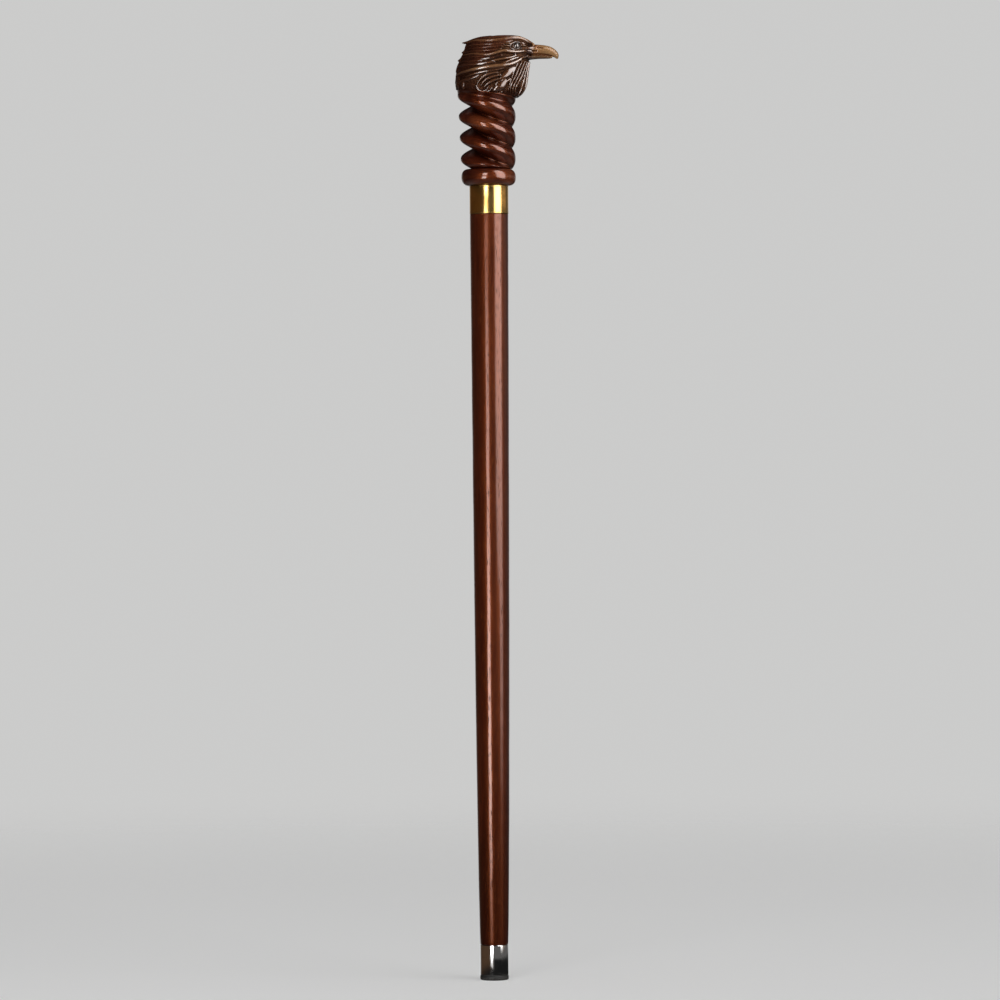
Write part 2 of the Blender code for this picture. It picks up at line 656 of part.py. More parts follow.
def beak_rings(sections, count):
    """Sections across half of the beak, square to its run, with a sharper ridge than sides."""
    rings = []
    for top_x, top_z, low_x, low_z, half_width in through(sections, count):
        ring = []
        for angle in np.linspace(0, math.tau, BEAK_SIDES, endpoint=False):
            rise, side = math.sin(angle), math.cos(angle)
            share = (1 + math.copysign(abs(rise) ** 1.05, rise)) / 2
            y = -half_width * math.copysign(abs(side) ** 0.85, side)
            ring.append(drawn(low_x + (top_x - low_x) * share, y, low_z + (top_z - low_z) * share))
        rings.append(ring)
    return rings


def ball_rings(centre, radius, levels=10, sides=16):
    """Level sections of a ball."""
    rings = []
    for polar in np.linspace(0, math.pi, levels + 2)[1:-1]:
        across, up = radius * math.sin(polar), -radius * math.cos(polar)
        ring = []
        for angle in np.linspace(0, math.tau, sides, endpoint=False):
            x, y = centre[0] + across * math.cos(angle), centre[1] + across * math.sin(angle)
            ring.append(drawn(x, y, centre[2] + up))
        rings.append(ring)
    return rings


def melded(name, forms, passes, finish=None, collection=parts):
    """One object in which overlapping closed forms run together, with cuts no finer than the grain."""
    made = skinned(name, forms, finish, collection)
    remesh = made.modifiers.new("meld", "REMESH")
    remesh.mode = "VOXEL"
    remesh.voxel_size = FORM_GRAIN
    soften = made.modifiers.new("soften", "SMOOTH")
    soften.factor = 0.5
    soften.iterations = passes
    return made


skull_forms = [
    closed_form(skull_rings()),
    closed_form(beak_rings(UPPER_BEAK, UPPER_BEAK_STEPS)),
    closed_form(beak_rings(LOWER_BEAK, LOWER_BEAK_STEPS)),
]
blank = melded("head_blank", skull_forms, BLANK_SOFTENING_STEPS, collection=cutters)
bpy.context.view_layer.update()
blank_surface = BVHTree.FromObject(blank, bpy.context.evaluated_depsgraph_get())


def on_blank(point, side):
    """A point of a lock's route: (x, z) points are carried in to the side of the blank head."""
    if len(point) == 3:
        return drawn(point[0], side * point[1], point[2])
    x, y, z = drawn(point[0], side * MIDDLE_REACH, point[1])
    hit = blank_surface.ray_cast(Vector((x, side * HEAD_WIDTH, z)), Vector((0, -side, 0)))[0]
    return tuple(hit or blank_surface.find_nearest(Vector((x, y, z)))[0])


def laid_route(route, tip_lift, side):
    """Points along a lock's middle, drawn in to the blank's surface, and the way out of the wood."""
    places, normals = [], []
    for i, place in enumerate(through([on_blank(point, side) for point in route], LOCK_STEPS)):
        near, normal = blank_surface.find_nearest(Vector(place))[:2]
        free = Vector(place) if tip_lift is None else near + normal * tip_lift * drawn_mm
        places.append(np.array(near.lerp(free, (i / (LOCK_STEPS - 1)) ** TIP_BEND)))
        normals.append(np.array(normal))
    places, normals = np.array(places), np.array(normals)
    for line in (places, normals):
        line[1:-1] = (line[:-2] + 2 * line[1:-1] + line[2:]) / 4
    return places, normals


def lock_form(route, width, height, tip_lift, side):
    """A feather lock that lies on the blank head: round over its back, sunk into the wood below, widest
    past its root and pointed at its tip, which lifts clear of the next lock."""
    places, normals = laid_route(route, tip_lift, side)
    rings = []
    for i in range(LOCK_STEPS):
        run = places[min(i + 1, LOCK_STEPS - 1)] - places[max(i - 1, 0)]
        run /= np.linalg.norm(run)
        up = normals[i] - run * np.dot(normals[i], run)
        up /= np.linalg.norm(up)
        across = np.cross(run, up)
        share = i / (LOCK_STEPS - 1)
        swell = (LOCK_ROOT + (1 - LOCK_ROOT) * min(1.0, share / LOCK_WIDEST)) * (1 - share**3) ** 0.75
        half_width = drawn_mm * width * max(swell, LOCK_TIP) / 2
        crown = drawn_mm * height * max(min(1.0, 0.75 + 0.6 * share) * (1 - share**4) ** 0.6, LOCK_TIP)
        sunk = drawn_mm * LOCK_SINK * min(1.0, 0.4 + swell)
        ring = []
        for angle in np.linspace(math.tau, 0, LOCK_SIDES, endpoint=False):
            rise = math.sin(angle)
            out = up * rise * (crown if rise > 0 else sunk)
            ring.append(places[i] + across * half_width * math.cos(angle) + out)
        rings.append(ring)
    return closed_form(rings)


head_forms = skull_forms[:]
for side in (1, -1):
    eye_y = abs(on_blank(EYE_PLACE, side)[1]) / drawn_mm - EYE_SINK
    head_forms.append(closed_form(ball_rings((EYE_PLACE[0], side * eye_y, EYE_PLACE[1]), EYE_RADIUS)))
    for route, width, height, tip_lift in SIDE_LOCKS:
        head_forms.append(lock_form(route, width, height, tip_lift, side))
for route, width, height, tip_lift in MIDDLE_LOCKS:
    head_forms.append(lock_form(route, width, height, tip_lift, 1))

eagle_head = melded("eagle_head", head_forms, HEAD_SOFTENING_STEPS, carved_wood)
fewer = eagle_head.modifiers.new("fewer_faces", "DECIMATE")
fewer.ratio = FORM_SHARE
cut(eagle_head, seat_cutter("head_seat", Z_HEAD, False))
z_bore_mouth = Z_HEAD - CUTTER_REACH
head_bore = turned(
    "head_bore",
    insert_bore(z_head_socket, 1)[::-1] + [(INSERT_FLANGE_RADIUS + FIT, z_bore_mouth), (0.0, z_bore_mouth)],
    steps=SMALL_ROUND,
    collection=cutters,
)
cut(eagle_head, head_bore)

for piece in parts.objects:
    piece.data.shade_smooth()
    piece.data.set_sharp_from_angle(angle=math.radians(40))
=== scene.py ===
"""Walking cane: a varnished hardwood shaft on a rubber foot, with a brass collar, a rope-twist grip and a
carved eagle's head whose beak points to +X. It stands with the centre of its foot at the origin."""
from math import atan2, copysign, cos, exp, hypot, log, pi, radians, sin, sqrt, tau

import bmesh
import bpy
import numpy as np
from mathutils import Matrix, Vector, noise
from mathutils.bvhtree import BVHTree
from mathutils.kdtree import KDTree


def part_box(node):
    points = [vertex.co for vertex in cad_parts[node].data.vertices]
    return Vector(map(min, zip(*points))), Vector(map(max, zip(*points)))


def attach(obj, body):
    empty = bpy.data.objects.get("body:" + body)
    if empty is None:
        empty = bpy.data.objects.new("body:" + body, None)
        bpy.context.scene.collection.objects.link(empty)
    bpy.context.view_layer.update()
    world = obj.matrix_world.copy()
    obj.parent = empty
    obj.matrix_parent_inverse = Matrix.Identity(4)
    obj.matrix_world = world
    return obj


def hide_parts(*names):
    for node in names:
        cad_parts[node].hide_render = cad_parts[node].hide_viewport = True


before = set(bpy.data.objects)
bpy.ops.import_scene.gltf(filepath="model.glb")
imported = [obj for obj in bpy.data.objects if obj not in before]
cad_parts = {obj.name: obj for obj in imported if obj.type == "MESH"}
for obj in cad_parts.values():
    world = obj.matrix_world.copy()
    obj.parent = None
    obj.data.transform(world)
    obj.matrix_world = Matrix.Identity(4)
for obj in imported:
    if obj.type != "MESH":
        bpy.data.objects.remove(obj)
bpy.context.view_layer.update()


# Rubber foot. A moulded black rubber pad with two tread grooves in its underside, and a ribbed plug that
# is pressed up into the ferrule. The pad's lower edge is scuffed and holds a little grey dust.
FOOT_EDGE, FOOT_UPPER_EDGE, FOOT_MIDDLE = 0.0012, 0.00072, 0.0006
FOOT_BULGE = 0.00018
FOOT_CENTRE = 0.0012
PLUG_RADIUS, PLUG_TOP_RADIUS = 0.01175, 0.01135
PLUG_RIB, RIB_SLOPE, RIB_LENGTH, RIB_PITCH, RIBS = 0.0003, 0.0012, 0.0015, 0.0027, 3
TREADS = (0.0088, 0.0052)
TREAD_WIDTH, TREAD_DEPTH, TREAD_EDGE = 0.001, 0.0009, 0.0002
SEAT_GAP = 0.0003
SHARP_EDGE = radians(38)


def rounded(corners, steps=5):
    """A profile of (radius, height) points from (radius, height, rounding) corners."""
    points = []
    for i, (r, z, size) in enumerate(corners):
        corner = np.array((r, z))
        ends = [np.array(corners[(i + step) % len(corners)][:2]) - corner for step in (-1, 1)]
        ends = [corner + size * end / np.linalg.norm(end) for end in ends]
        for share in np.linspace(0, 1, steps if size else 1):
            a, b = ends[0] * (1 - share) + corner * share, corner * (1 - share) + ends[1] * share
            points.append(a * (1 - share) + b * share)
    return points


def one_turn(sides):
    """Even angles round a circle."""
    return np.linspace(0, tau, sides, endpoint=False)


def walled(rings, first=0, tube=False):
    """The faces through rings of points, with flat ends, or closed on themselves as a tube."""
    levels, sides = rings.shape[:2]
    faces = []
    for level in range(levels if tube else levels - 1):
        low, high = first + level * sides, first + (level + 1) % levels * sides
        for i in range(sides):
            j = (i + 1) % sides
            faces.append((low + i, low + j, high + j, high + i))
    if not tube:
        faces.append(tuple(reversed(range(first, first + sides))))
        faces.append(tuple(range(first + (levels - 1) * sides, first + levels * sides)))
    return faces


def placed(name, data):
    """An object with this data, set in the scene."""
    made = bpy.data.objects.new(name, data)
    bpy.context.scene.collection.objects.link(made)
    return made


def skin(name, rings, tube=False):
    """A piece through rings of points."""
    rings = np.asarray(rings, float)
    mesh = bpy.data.meshes.new(name)
    mesh.from_pydata(rings.reshape(-1, 3).tolist(), [], walled(rings, 0, tube))
    form = bmesh.new()
    form.from_mesh(mesh)
    bmesh.ops.recalc_face_normals(form, faces=form.faces)
    form.to_mesh(mesh)
    form.free()
    return placed(name, mesh)


def turned(name, profile, sides=128, tube=False):
    """A lathe-turned piece from (radius, height) points."""
    angles = one_turn(sides)
    radii, heights = np.array(profile).T[:, :, None]
    rings = [radii * np.cos(angles), radii * np.sin(angles), np.repeat(heights, sides, axis=1)]
    return skin(name, np.stack(rings, axis=2), tube)


def finished(piece, material, slot, *nodes):
    """Smooth faces and the material on a piece, which stands for these nodes."""
    piece.data.shade_smooth()
    piece.data.set_sharp_from_angle(angle=SHARP_EDGE)
    piece.data.materials.clear()
    piece.data.materials.append(material)
    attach(piece, "root")
    if nodes:
        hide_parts(*nodes)


def worked(way, first, second=0):
    """A sum, a product or the like of two patterns, or of a pattern and a number."""
    tree = (first if isinstance(first, Pattern) else second).tree
    return put(tree, "Math", {0: first, 1: second}, operation=way)[0]


class Pattern:
    """What a shader node puts out. Patterns are added, multiplied and taken away like numbers."""

    def __init__(self, output):
        self.output, self.tree = output, output.id_data

    def __abs__(self):
        return worked("ABSOLUTE", self)

    def __add__(self, other):
        return worked("ADD", self, other)

    def __sub__(self, other):
        return worked("SUBTRACT", self, other)

    def __rsub__(self, other):
        return worked("SUBTRACT", other, self)

    def __mul__(self, other):
        return worked("MULTIPLY", self, other)

    def __truediv__(self, other):
        return worked("DIVIDE", self, other)


def put(tree, kind, feeds, **settings):
    """A shader node, as its patterns by number and by name. It is fed with numbers, colours or patterns."""
    made = tree.nodes.new("ShaderNode" + kind)
    for name, value in settings.items():
        setattr(made, name, value)
    for label, value in feeds.items():
        if isinstance(value, Pattern):
            tree.links.new(value.output, made.inputs[label])
        else:
            made.inputs[label].default_value = value
    patterns = [Pattern(output) for output in made.outputs]
    return dict(enumerate(patterns)) | {pattern.output.name: pattern for pattern in patterns}


def eased(value, low, high, start=0, end=1):
    """The value's way from low to high, as a soft step between start and end."""
    feeds = {0: value, 1: low, 2: high, 3: start, 4: end}
    return put(value.tree, "MapRange", feeds, interpolation_type="SMOOTHSTEP")[0]


def mixed(share, first, second):
    """One colour over another."""
    first, second = ((*color[:3], 1) if isinstance(color, tuple) else color for color in (first, second))
    return put(share.tree, "Mix", {0: share, 6: first, 7: second}, data_type="RGBA")[2]


def place(tree, axis=None):
    """Where a point lies on the piece, or one of its coordinates."""
    point = put(tree, "TexCoord", {})["Object"]
    return point if axis is None else put(tree, "SeparateXYZ", {0: point})[axis]


def cloud(tree, size, detail=3, stretch=None):
    """A soft random pattern with this many patches to the metre."""
    point = place(tree)
    if stretch is not None:
        point = put(tree, "VectorMath", {0: point, 1: stretch}, operation="MULTIPLY")[0]
    return put(tree, "TexNoise", {"Vector": point, "Scale": size, "Detail": detail})[0]


def new_group(name, inputs, outputs):
    """A group of shader nodes, what it is given by name, and the inputs of its end."""
    group = bpy.data.node_groups.new(name, "ShaderNodeTree")
    for label, value in inputs.items():
        socket = group.interface.new_socket(label, in_out="INPUT", socket_type="NodeSocketFloat")
        socket.default_value = value
    for label in outputs:
        group.interface.new_socket(label, in_out="OUTPUT", socket_type="NodeSocketFloat")
    given = {output.name: Pattern(output) for output in group.nodes.new("NodeGroupInput").outputs}
    return group, given, group.nodes.new("NodeGroupOutput").inputs


def use(tree, group, **values):
    """A group placed in a material with its own values."""
    feeds = {label.replace("_", " "): value for label, value in values.items()}
    return put(tree, "Group", feeds, node_tree=group)


def new_material(name, **values):
    """A material, its nodes and its shader's inputs, of which the constant ones are set."""
    made = bpy.data.materials.new(name)
    made.use_nodes = True
    shader = made.node_tree.nodes["Principled BSDF"].inputs
    for label, value in values.items():
        shader[label.replace("_", " ").title().replace("Ior", "IOR")].default_value = value
    return made, made.node_tree, shader


def feed(inputs, **patterns):
    """Links patterns to the inputs of a shader, or of a group's end."""
    for label, pattern in patterns.items():
        pattern.tree.links.new(pattern.output, inputs[label.replace("_", " ").title()])


def relief(height, depth):
    """The normal of a surface whose height pattern is this deep, in metres."""
    return put(height.tree, "Bump", {"Height": height, "Distance": depth, "Strength": 1})[0]


# Dust and scuffs gather by a piece's rims.
scuffing, given, out = new_group("scuffed_rim", {"Rim": 0, "Reach": 0.004, "Amount": 1}, ["Scuffs"])
near_rim = eased((place(scuffing, 2) - given["Rim"]) / given["Reach"], 1, 0)
broken = eased(cloud(scuffing, 900, 5), 0.4, 0.62)
feed(out, scuffs=near_rim * broken * given["Amount"])

foot_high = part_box("rubber_tip")[1]
ferrule_low, ferrule_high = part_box("ferrule")
pad_radius, pad_top = foot_high.x, ferrule_low.z - SEAT_GAP
foot = [(PLUG_TOP_RADIUS, foot_high.z, 0)]
for rib in range(RIBS):
    rib_top = foot_high.z - RIB_SLOPE - RIB_PITCH * rib
    foot += [
        (PLUG_RADIUS, rib_top, 0),
        (PLUG_RADIUS + PLUG_RIB, rib_top - RIB_SLOPE, 0),
        (PLUG_RADIUS, rib_top - RIB_LENGTH, 0),
    ]
foot += [
    (PLUG_RADIUS, pad_top, 0),
    (pad_radius - FOOT_BULGE, pad_top, FOOT_UPPER_EDGE),
    (pad_radius, pad_top / 2, FOOT_MIDDLE),
    (pad_radius - FOOT_BULGE, 0, FOOT_EDGE),
]
for tread in TREADS:
    for side, depth in ((0.5, 0), (0.5, TREAD_DEPTH), (-0.5, TREAD_DEPTH), (-0.5, 0)):
        foot.append((tread + side * TREAD_WIDTH, depth, TREAD_EDGE))
foot_pad = turned("foot_pad", rounded(foot + [(FOOT_CENTRE, 0, 0)]))

black_rubber, tree, shader = new_material("black_rubber", specular_ior_level=0.4)
scuffs = use(tree, scuffing, Reach=0.0042, Amount=0.8)["Scuffs"]
mottle = cloud(tree, 260, 4)
rubber_black = mixed(mottle, (0.01, 0.01, 0.01), (0.026, 0.025, 0.023))
feed(
    shader,
    base_color=mixed(scuffs, rubber_black, (0.105, 0.098, 0.088)),
    roughness=eased(mottle, 0.3, 0.7, 0.5, 0.68) + scuffs * 0.22,
    normal=relief(cloud(tree, 4200, 3), 0.00004),
)
finished(foot_pad, black_rubber, "rubber", "rubber_tip")


# Tip disc. A stamped steel washer between the end of the wood and the rubber, zinc plated, so that the
# shaft can't cut through the foot. It lies inside the ferrule.
def refinished(name, material):
    """The material on one of the frame's own solids, which keeps its shape."""
    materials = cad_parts[name].data.materials
    materials.clear()
    materials.append(material)


# Handling leaves soft patches and fine hairline marks on every polished piece.
handling, given, out = new_group("handling_marks", {"Patches": 60, "Amount": 1}, ["Patches", "Hairlines"])
patches = eased(cloud(handling, given["Patches"], 4), 0.46, 0.66)
hairlines = eased(abs(cloud(handling, 700, 2, (1, 1, 0.16)) - 0.5), 0.012, 0)
feed(out, patches=patches * given["Amount"], hairlines=hairlines * given["Amount"])

plated_steel, tree, shader = new_material("zinc_plated_steel", metallic=1)
marks = use(tree, handling, Patches=180, Amount=0.8)
spangle = put(tree, "TexVoronoi", {"Vector": place(tree), "Scale": 900})["Color"]
spangle = put(tree, "SeparateColor", {0: spangle})[0]
zinc = mixed(spangle, (0.5, 0.51, 0.52), (0.64, 0.63, 0.58))
feed(
    shader,
    base_color=mixed(marks["Patches"], zinc, (0.42, 0.41, 0.37)),
    roughness=eased(spangle, 0, 1, 0.26, 0.44),
    normal=relief(cloud(tree, 2600, 2), 0.00002),
)
refinished("tip_disc", plated_steel)


# Ferrule. A drawn steel tube, chromed and mirror bright, pushed over the turned-down end of the shaft.
# Its rims are rounded, and it carries hairlines from the floor.
FERRULE_WALL, FERRULE_EDGE = 0.0011, 0.0005
ferrule_bore = ferrule_high.x - FERRULE_WALL


def tube(name, low, high, bore, edge):
    """A metal tube that fills the box between two corners, with rounded rims."""
    outside = [(high.x, low.z, edge), (high.x, high.z, edge)]
    return turned(name, rounded(outside + [(bore, high.z, edge / 2), (bore, low.z, edge / 2)]), tube=True)


chromed_tube = tube("chromed_tube", ferrule_low, ferrule_high, ferrule_bore, FERRULE_EDGE)

chrome, tree, shader = new_material("chrome_plate", metallic=1)
marks = use(tree, handling, Patches=120)
scuffs = use(tree, scuffing, Rim=ferrule_low.z, Reach=0.006, Amount=0.7)["Scuffs"]
bright = mixed(marks["Patches"], (0.76, 0.76, 0.77), (0.66, 0.65, 0.63))
feed(
    shader,
    base_color=mixed(scuffs, bright, (0.34, 0.33, 0.31)),
    roughness=marks["Patches"] * 0.07 + scuffs * 0.22 + 0.03,
    normal=relief(marks["Hairlines"], -0.000006),
)
finished(chromed_tube, chrome, "chrome", "ferrule")


# Shaft. One stick of mahogany, turned to a long, slightly swelling taper, stained red-brown and varnished to
# a gloss. The varnish sinks into the open pores, and the hand-rubbed surface ripples a little along it.
SHAFT_EDGE = 0.0003
SHAFT_SWELL, SWELL_PLACE = 0.0013, 0.32
SHAFT_LEVELS, SHAFT_SIDES = 260, 96
SHAFT_RIPPLE, RIPPLE_SINK = 0.00009, 0.6
RIPPLES = ((1.3, 26, 0, 1), (2.6, 70, 9, 0.5))  # turns round the shaft and along it, start, strength
SPIGOT_FIT = 0.0003
COLLAR_WALL = 0.0012
shaft_low, shaft_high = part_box("shaft")
collar_low, collar_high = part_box("brass_collar")
collar_bore = collar_high.x - COLLAR_WALL
shaft_foot, shaft_shoulder = ferrule_high.z + SPIGOT_FIT, collar_low.z - SPIGOT_FIT
foot_radius, top_radius = ferrule_high.x, shaft_high.x
levels = [
    (ferrule_bore - SPIGOT_FIT, shaft_low.z),
    (ferrule_bore - SPIGOT_FIT, shaft_foot),
    (foot_radius - SHAFT_EDGE, shaft_foot),
]
for share in np.linspace(0, 1, SHAFT_LEVELS):
    z = shaft_foot + SHAFT_EDGE + (shaft_shoulder - shaft_foot - 2 * SHAFT_EDGE) * share
    swell = SHAFT_SWELL * sin(pi * share ** (log(0.5) / log(SWELL_PLACE)))
    levels.append((foot_radius + (top_radius - foot_radius) * share + swell, z))
levels += [
    (top_radius - SHAFT_EDGE, shaft_shoulder),
    (collar_bore - SPIGOT_FIT, shaft_shoulder),
    (collar_bore - SPIGOT_FIT, shaft_high.z),
]
rings = []
for radius, z in levels:
    ring = []
    for angle in one_turn(SHAFT_SIDES):
        c, s = cos(angle), sin(angle)
        ripple = -RIPPLE_SINK
        for around, along, start, strength in RIPPLES:
            ripple += strength * noise.noise(Vector((c * around, s * around, z * along + start)))
        r = radius + SHAFT_RIPPLE * ripple
        ring.append((r * c, r * s, z))
    rings.append(ring)
turned_shaft = skin("turned_shaft", rings)

# Mahogany's grain: a broad figure, fine streaks along it, and short open pores.
grain, given, out = new_group(
    "wood_grain",
    {"Across": 420, "Along": 14, "Pore Across": 1500, "Pore Along": 150},
    ["Figure", "Streaks", "Pores"],
)
wander = put(grain, "TexNoise", {"Vector": place(grain), "Scale": 9, "Detail": 1})["Color"]
wander = {0: wander, 1: (0.012, 0.012, 0), 2: place(grain)}
point = put(grain, "VectorMath", wander, operation="MULTIPLY_ADD")[0]
for label, across, along, detail, low, high in (
    ("Figure", given["Across"] * 0.22, given["Along"], 3, 0.34, 0.66),
    ("Streaks", given["Across"], given["Along"], 5, 0.36, 0.64),
    ("Pores", given["Pore Across"], given["Pore Along"], 1, 0.6, 0.68),
):
    run = put(grain, "CombineXYZ", {0: across, 1: across, 2: along})[0]
    run = put(grain, "VectorMath", {0: point, 1: run}, operation="MULTIPLY")[0]
    pattern = put(grain, "TexNoise", {"Vector": run, "Scale": 1, "Detail": detail})[0]
    feed(out, **{label: eased(pattern, low, high)})

WOOD_TINT = (1, 0.25, 0.07, 1)
mahogany, tree, shader = new_material(
    "varnished_mahogany", specular_ior_level=0.9, specular_tint=WOOD_TINT, coat_roughness=0.09, coat_ior=1.5
)
wood = use(tree, grain, Across=430, Along=9)
color = mixed(wood["Figure"], (0.04, 0.0046, 0.0018), (0.082, 0.0125, 0.0042))
color = mixed(wood["Streaks"] * 0.55, color, (0.026, 0.0034, 0.0015))
color = mixed(wood["Pores"] * 0.8, color, (0.008, 0.0016, 0.0009))
# Painted shade: the wood is painted darker towards the foot, where less light falls.
color = mixed(eased(place(tree, 2), 0.2, 0.045, 0, 0.6), color, (0.016, 0.0024, 0.0012))
feed(
    shader,
    base_color=color,
    roughness=wood["Pores"] * 0.2 + 0.3,
    coat_weight=0.65 - wood["Pores"] * 0.5,
    normal=relief(wood["Pores"] * 0.9 + wood["Streaks"] * 0.35, -0.00006),
)
finished(turned_shaft, mahogany, "shaft_wood", "shaft")


# Collar. A plain sleeve of polished brass over the joint between shaft and grip. Its rims are rounded, and
# the lacquer has dulled a little beside the wood.
COLLAR_EDGE = 0.0005
brass_sleeve = tube("brass_sleeve", collar_low, collar_high, collar_bore, COLLAR_EDGE)


def most(first, *others):
    """The largest of some patterns."""
    for other in others:
        first = worked("MAXIMUM", first, other)
    return first


brass, tree, shader = new_material("polished_brass", metallic=1)
marks = use(tree, handling, Patches=90)
lower = use(tree, scuffing, Rim=collar_low.z, Reach=0.0035, Amount=0.8)["Scuffs"]
upper = use(tree, scuffing, Rim=collar_high.z, Reach=-0.0035, Amount=0.8)["Scuffs"]
tarnish = most(lower, upper)
color = mixed(marks["Patches"], (0.72, 0.46, 0.145), (0.6, 0.37, 0.105))
feed(
    shader,
    base_color=mixed(tarnish, color, (0.3, 0.18, 0.06)),
    roughness=marks["Patches"] * 0.05 + 0.15 + tarnish * 0.2,
    normal=relief(marks["Hairlines"], -0.000005),
)
finished(brass_sleeve, brass, "brass", "brass_collar")


# Threaded rod and its two inserts. A zinc-plated steel rod draws shaft, grip and head together. It screws
# into flanged brass inserts, one in the shaft's top and one in the head. All three are inside the wood.
threads, given, out = new_group("screw_thread", {"Pitch": 0.00125}, ["Height"])
around = worked("ARCTAN2", place(threads, 1), place(threads, 0))
turns = place(threads, 2) / given["Pitch"] + around / tau
feed(out, height=worked("PINGPONG", turns, 0.5))

threaded_steel, tree, shader = new_material("threaded_steel", metallic=1)
height = use(tree, threads, Pitch=0.00125)["Height"]
marks = use(tree, handling, Patches=200, Amount=0.8)
zinc = mixed(marks["Patches"], (0.58, 0.58, 0.56), (0.44, 0.43, 0.4))
# Painted shade: the thread's roots are painted darker than its zinc crests.
feed(
    shader,
    base_color=mixed(eased(height, 0.05, 0.4), (0.24, 0.23, 0.21), zinc),
    roughness=marks["Patches"] * 0.15 + 0.28,
    normal=relief(height, 0.0008),
)
machined_brass, tree, shader = new_material("machined_brass", metallic=1)
height = use(tree, threads, Pitch=0.0015)["Height"]
marks = use(tree, handling, Patches=220, Amount=0.8)
turning = worked("SINE", place(tree, 2) * 42000)
brassy = mixed(marks["Patches"], (0.68, 0.48, 0.22), (0.5, 0.34, 0.15))
feed(
    shader,
    base_color=mixed(eased(turning, -1, 1, 0, 0.25), brassy, (0.36, 0.24, 0.1)),
    roughness=eased(turning, -1, 1, 0.26, 0.4),
    normal=relief(height, 0.0006),
)
refinished("handle_stud", threaded_steel)
refinished("shaft_insert", machined_brass)
refinished("head_insert", machined_brass)


# Grip. A block of mahogany turned to a half-round ring and carved above it as a rope of two strands, wound
# to the left. The red stain lies darker in the grooves, which are painted darker still as shade, and two
# patches are worn lighter under the gloss, with painted sheen and light in them.
RING_HEIGHT, RING_RADIUS, RING_GROOVE = 0.0159, 0.0266, 0.0208
RING_MIDDLE, RING_FULLNESS, RING_LIP, RING_SHADE = 0.5, 2.2, 0.0008, 0.006
GRIP_FOOT, GRIP_TOP, GRIP_LEAN = 0.0262, 0.0284, 0.0016
STRAND_RISE, SHOULDER = 0.0204, 0.005
GROOVE_REAR, GROOVE_FRONT, GROOVE_START = 0.015, 0.0034, 0.0157
STRAND_FULLNESS, GROOVE_CROWDING = 2.35, 0.75
GROOVE_FADE, GROOVE_ROUNDING, GROOVE_RUN_OUT = 2.5, 0.16, 0.008
SEAT_SLOPE = 0.13
GRIP_HEIGHT, SEAT_SPARE = 0.0886, 0.002
GRIP_SIDES, RING_LEVELS, SHOULDER_LEVELS, TWIST_STEP = 192, 27, 12, 0.00045
HAND_CARVED, CARVED_AWAY = 0.00022, 0.7
# Patches painted lighter: handled wear, and painted sheen and light where the lamps fall on a strand and on
# the ring's right side.
WORN_AND_SHEEN_SPOTS = (((-0.006, 0.026, 0.0625), 0.019), ((0.024, 0.01, 0.008), 0.02))  # place, reach
grip_foot = collar_high.z + SEAT_GAP
grip_seat = grip_foot + GRIP_HEIGHT
ring_top = grip_foot + RING_HEIGHT
tenon_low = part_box("twist_grip")[0].z


def ring_radius(z):
    """The half-round ring, drawn in to the groove above it."""
    middle = grip_foot + RING_MIDDLE * RING_HEIGHT
    inner = collar_high.x + RING_LIP if z < middle else RING_GROOVE
    reach = (z - middle) / (middle - grip_foot if z < middle else ring_top - middle)
    return inner + (RING_RADIUS - inner) * sqrt(max(0, 1 - abs(reach) ** RING_FULLNESS))


def grip_section(z):
    """One level of the grip, and how deep in a groove each of its points lies."""
    climb = max(0, (z - grip_foot) / GRIP_HEIGHT)
    full = GRIP_FOOT + (GRIP_TOP - GRIP_FOOT) * climb
    turn = -pi * (max(z, ring_top) - grip_foot - GROOVE_START) / STRAND_RISE
    crest = hypot(1, GROOVE_ROUNDING) - GROOVE_ROUNDING
    ring, hollow = [], []
    for i in range(GRIP_SIDES):
        share = 2 * i / GRIP_SIDES % 1
        strand = 2 * i // GRIP_SIDES
        angle = pi * (strand + share - GROOVE_CROWDING * sin(tau * share) / tau)
        heading = angle + turn + pi
        c, s = cos(heading), sin(heading)
        depth = GROOVE_REAR - (GROOVE_REAR - GROOVE_FRONT) * ((1 + c) / 2) ** GROOVE_FADE
        from_groove = 1 - abs(2 * (angle / pi % 1) - 1)
        rounded_off = (hypot(from_groove, GROOVE_ROUNDING) - GROOVE_ROUNDING) / crest
        run_out = min(1, max(0, (grip_seat - SEAT_SLOPE * full * c - z) / GROOVE_RUN_OUT))
        in_groove = max(0, 1 - rounded_off) ** STRAND_FULLNESS * (3 - 2 * run_out) * run_out**2
        radius = full - depth * in_groove
        if z <= ring_top:
            radius = ring_radius(z)
            in_groove = max(0, (RING_RADIUS - radius) / RING_SHADE) ** 2 * 0.5
        else:
            swell = min(1, (z - ring_top) / SHOULDER)
            shoulder = RING_GROOVE + (full - RING_GROOVE) * sqrt(1 - (1 - swell) ** 2)
            if shoulder < radius:
                radius, in_groove = shoulder, max(in_groove, 1 - swell)
        uneven = noise.noise(Vector((c * 1.5 + strand * 7, s * 1.5, z * 90))) - CARVED_AWAY
        radius += HAND_CARVED * uneven
        ring.append((radius * c - GRIP_LEAN * climb, radius * s, z))
        hollow.append(min(1, in_groove))
    return ring, hollow


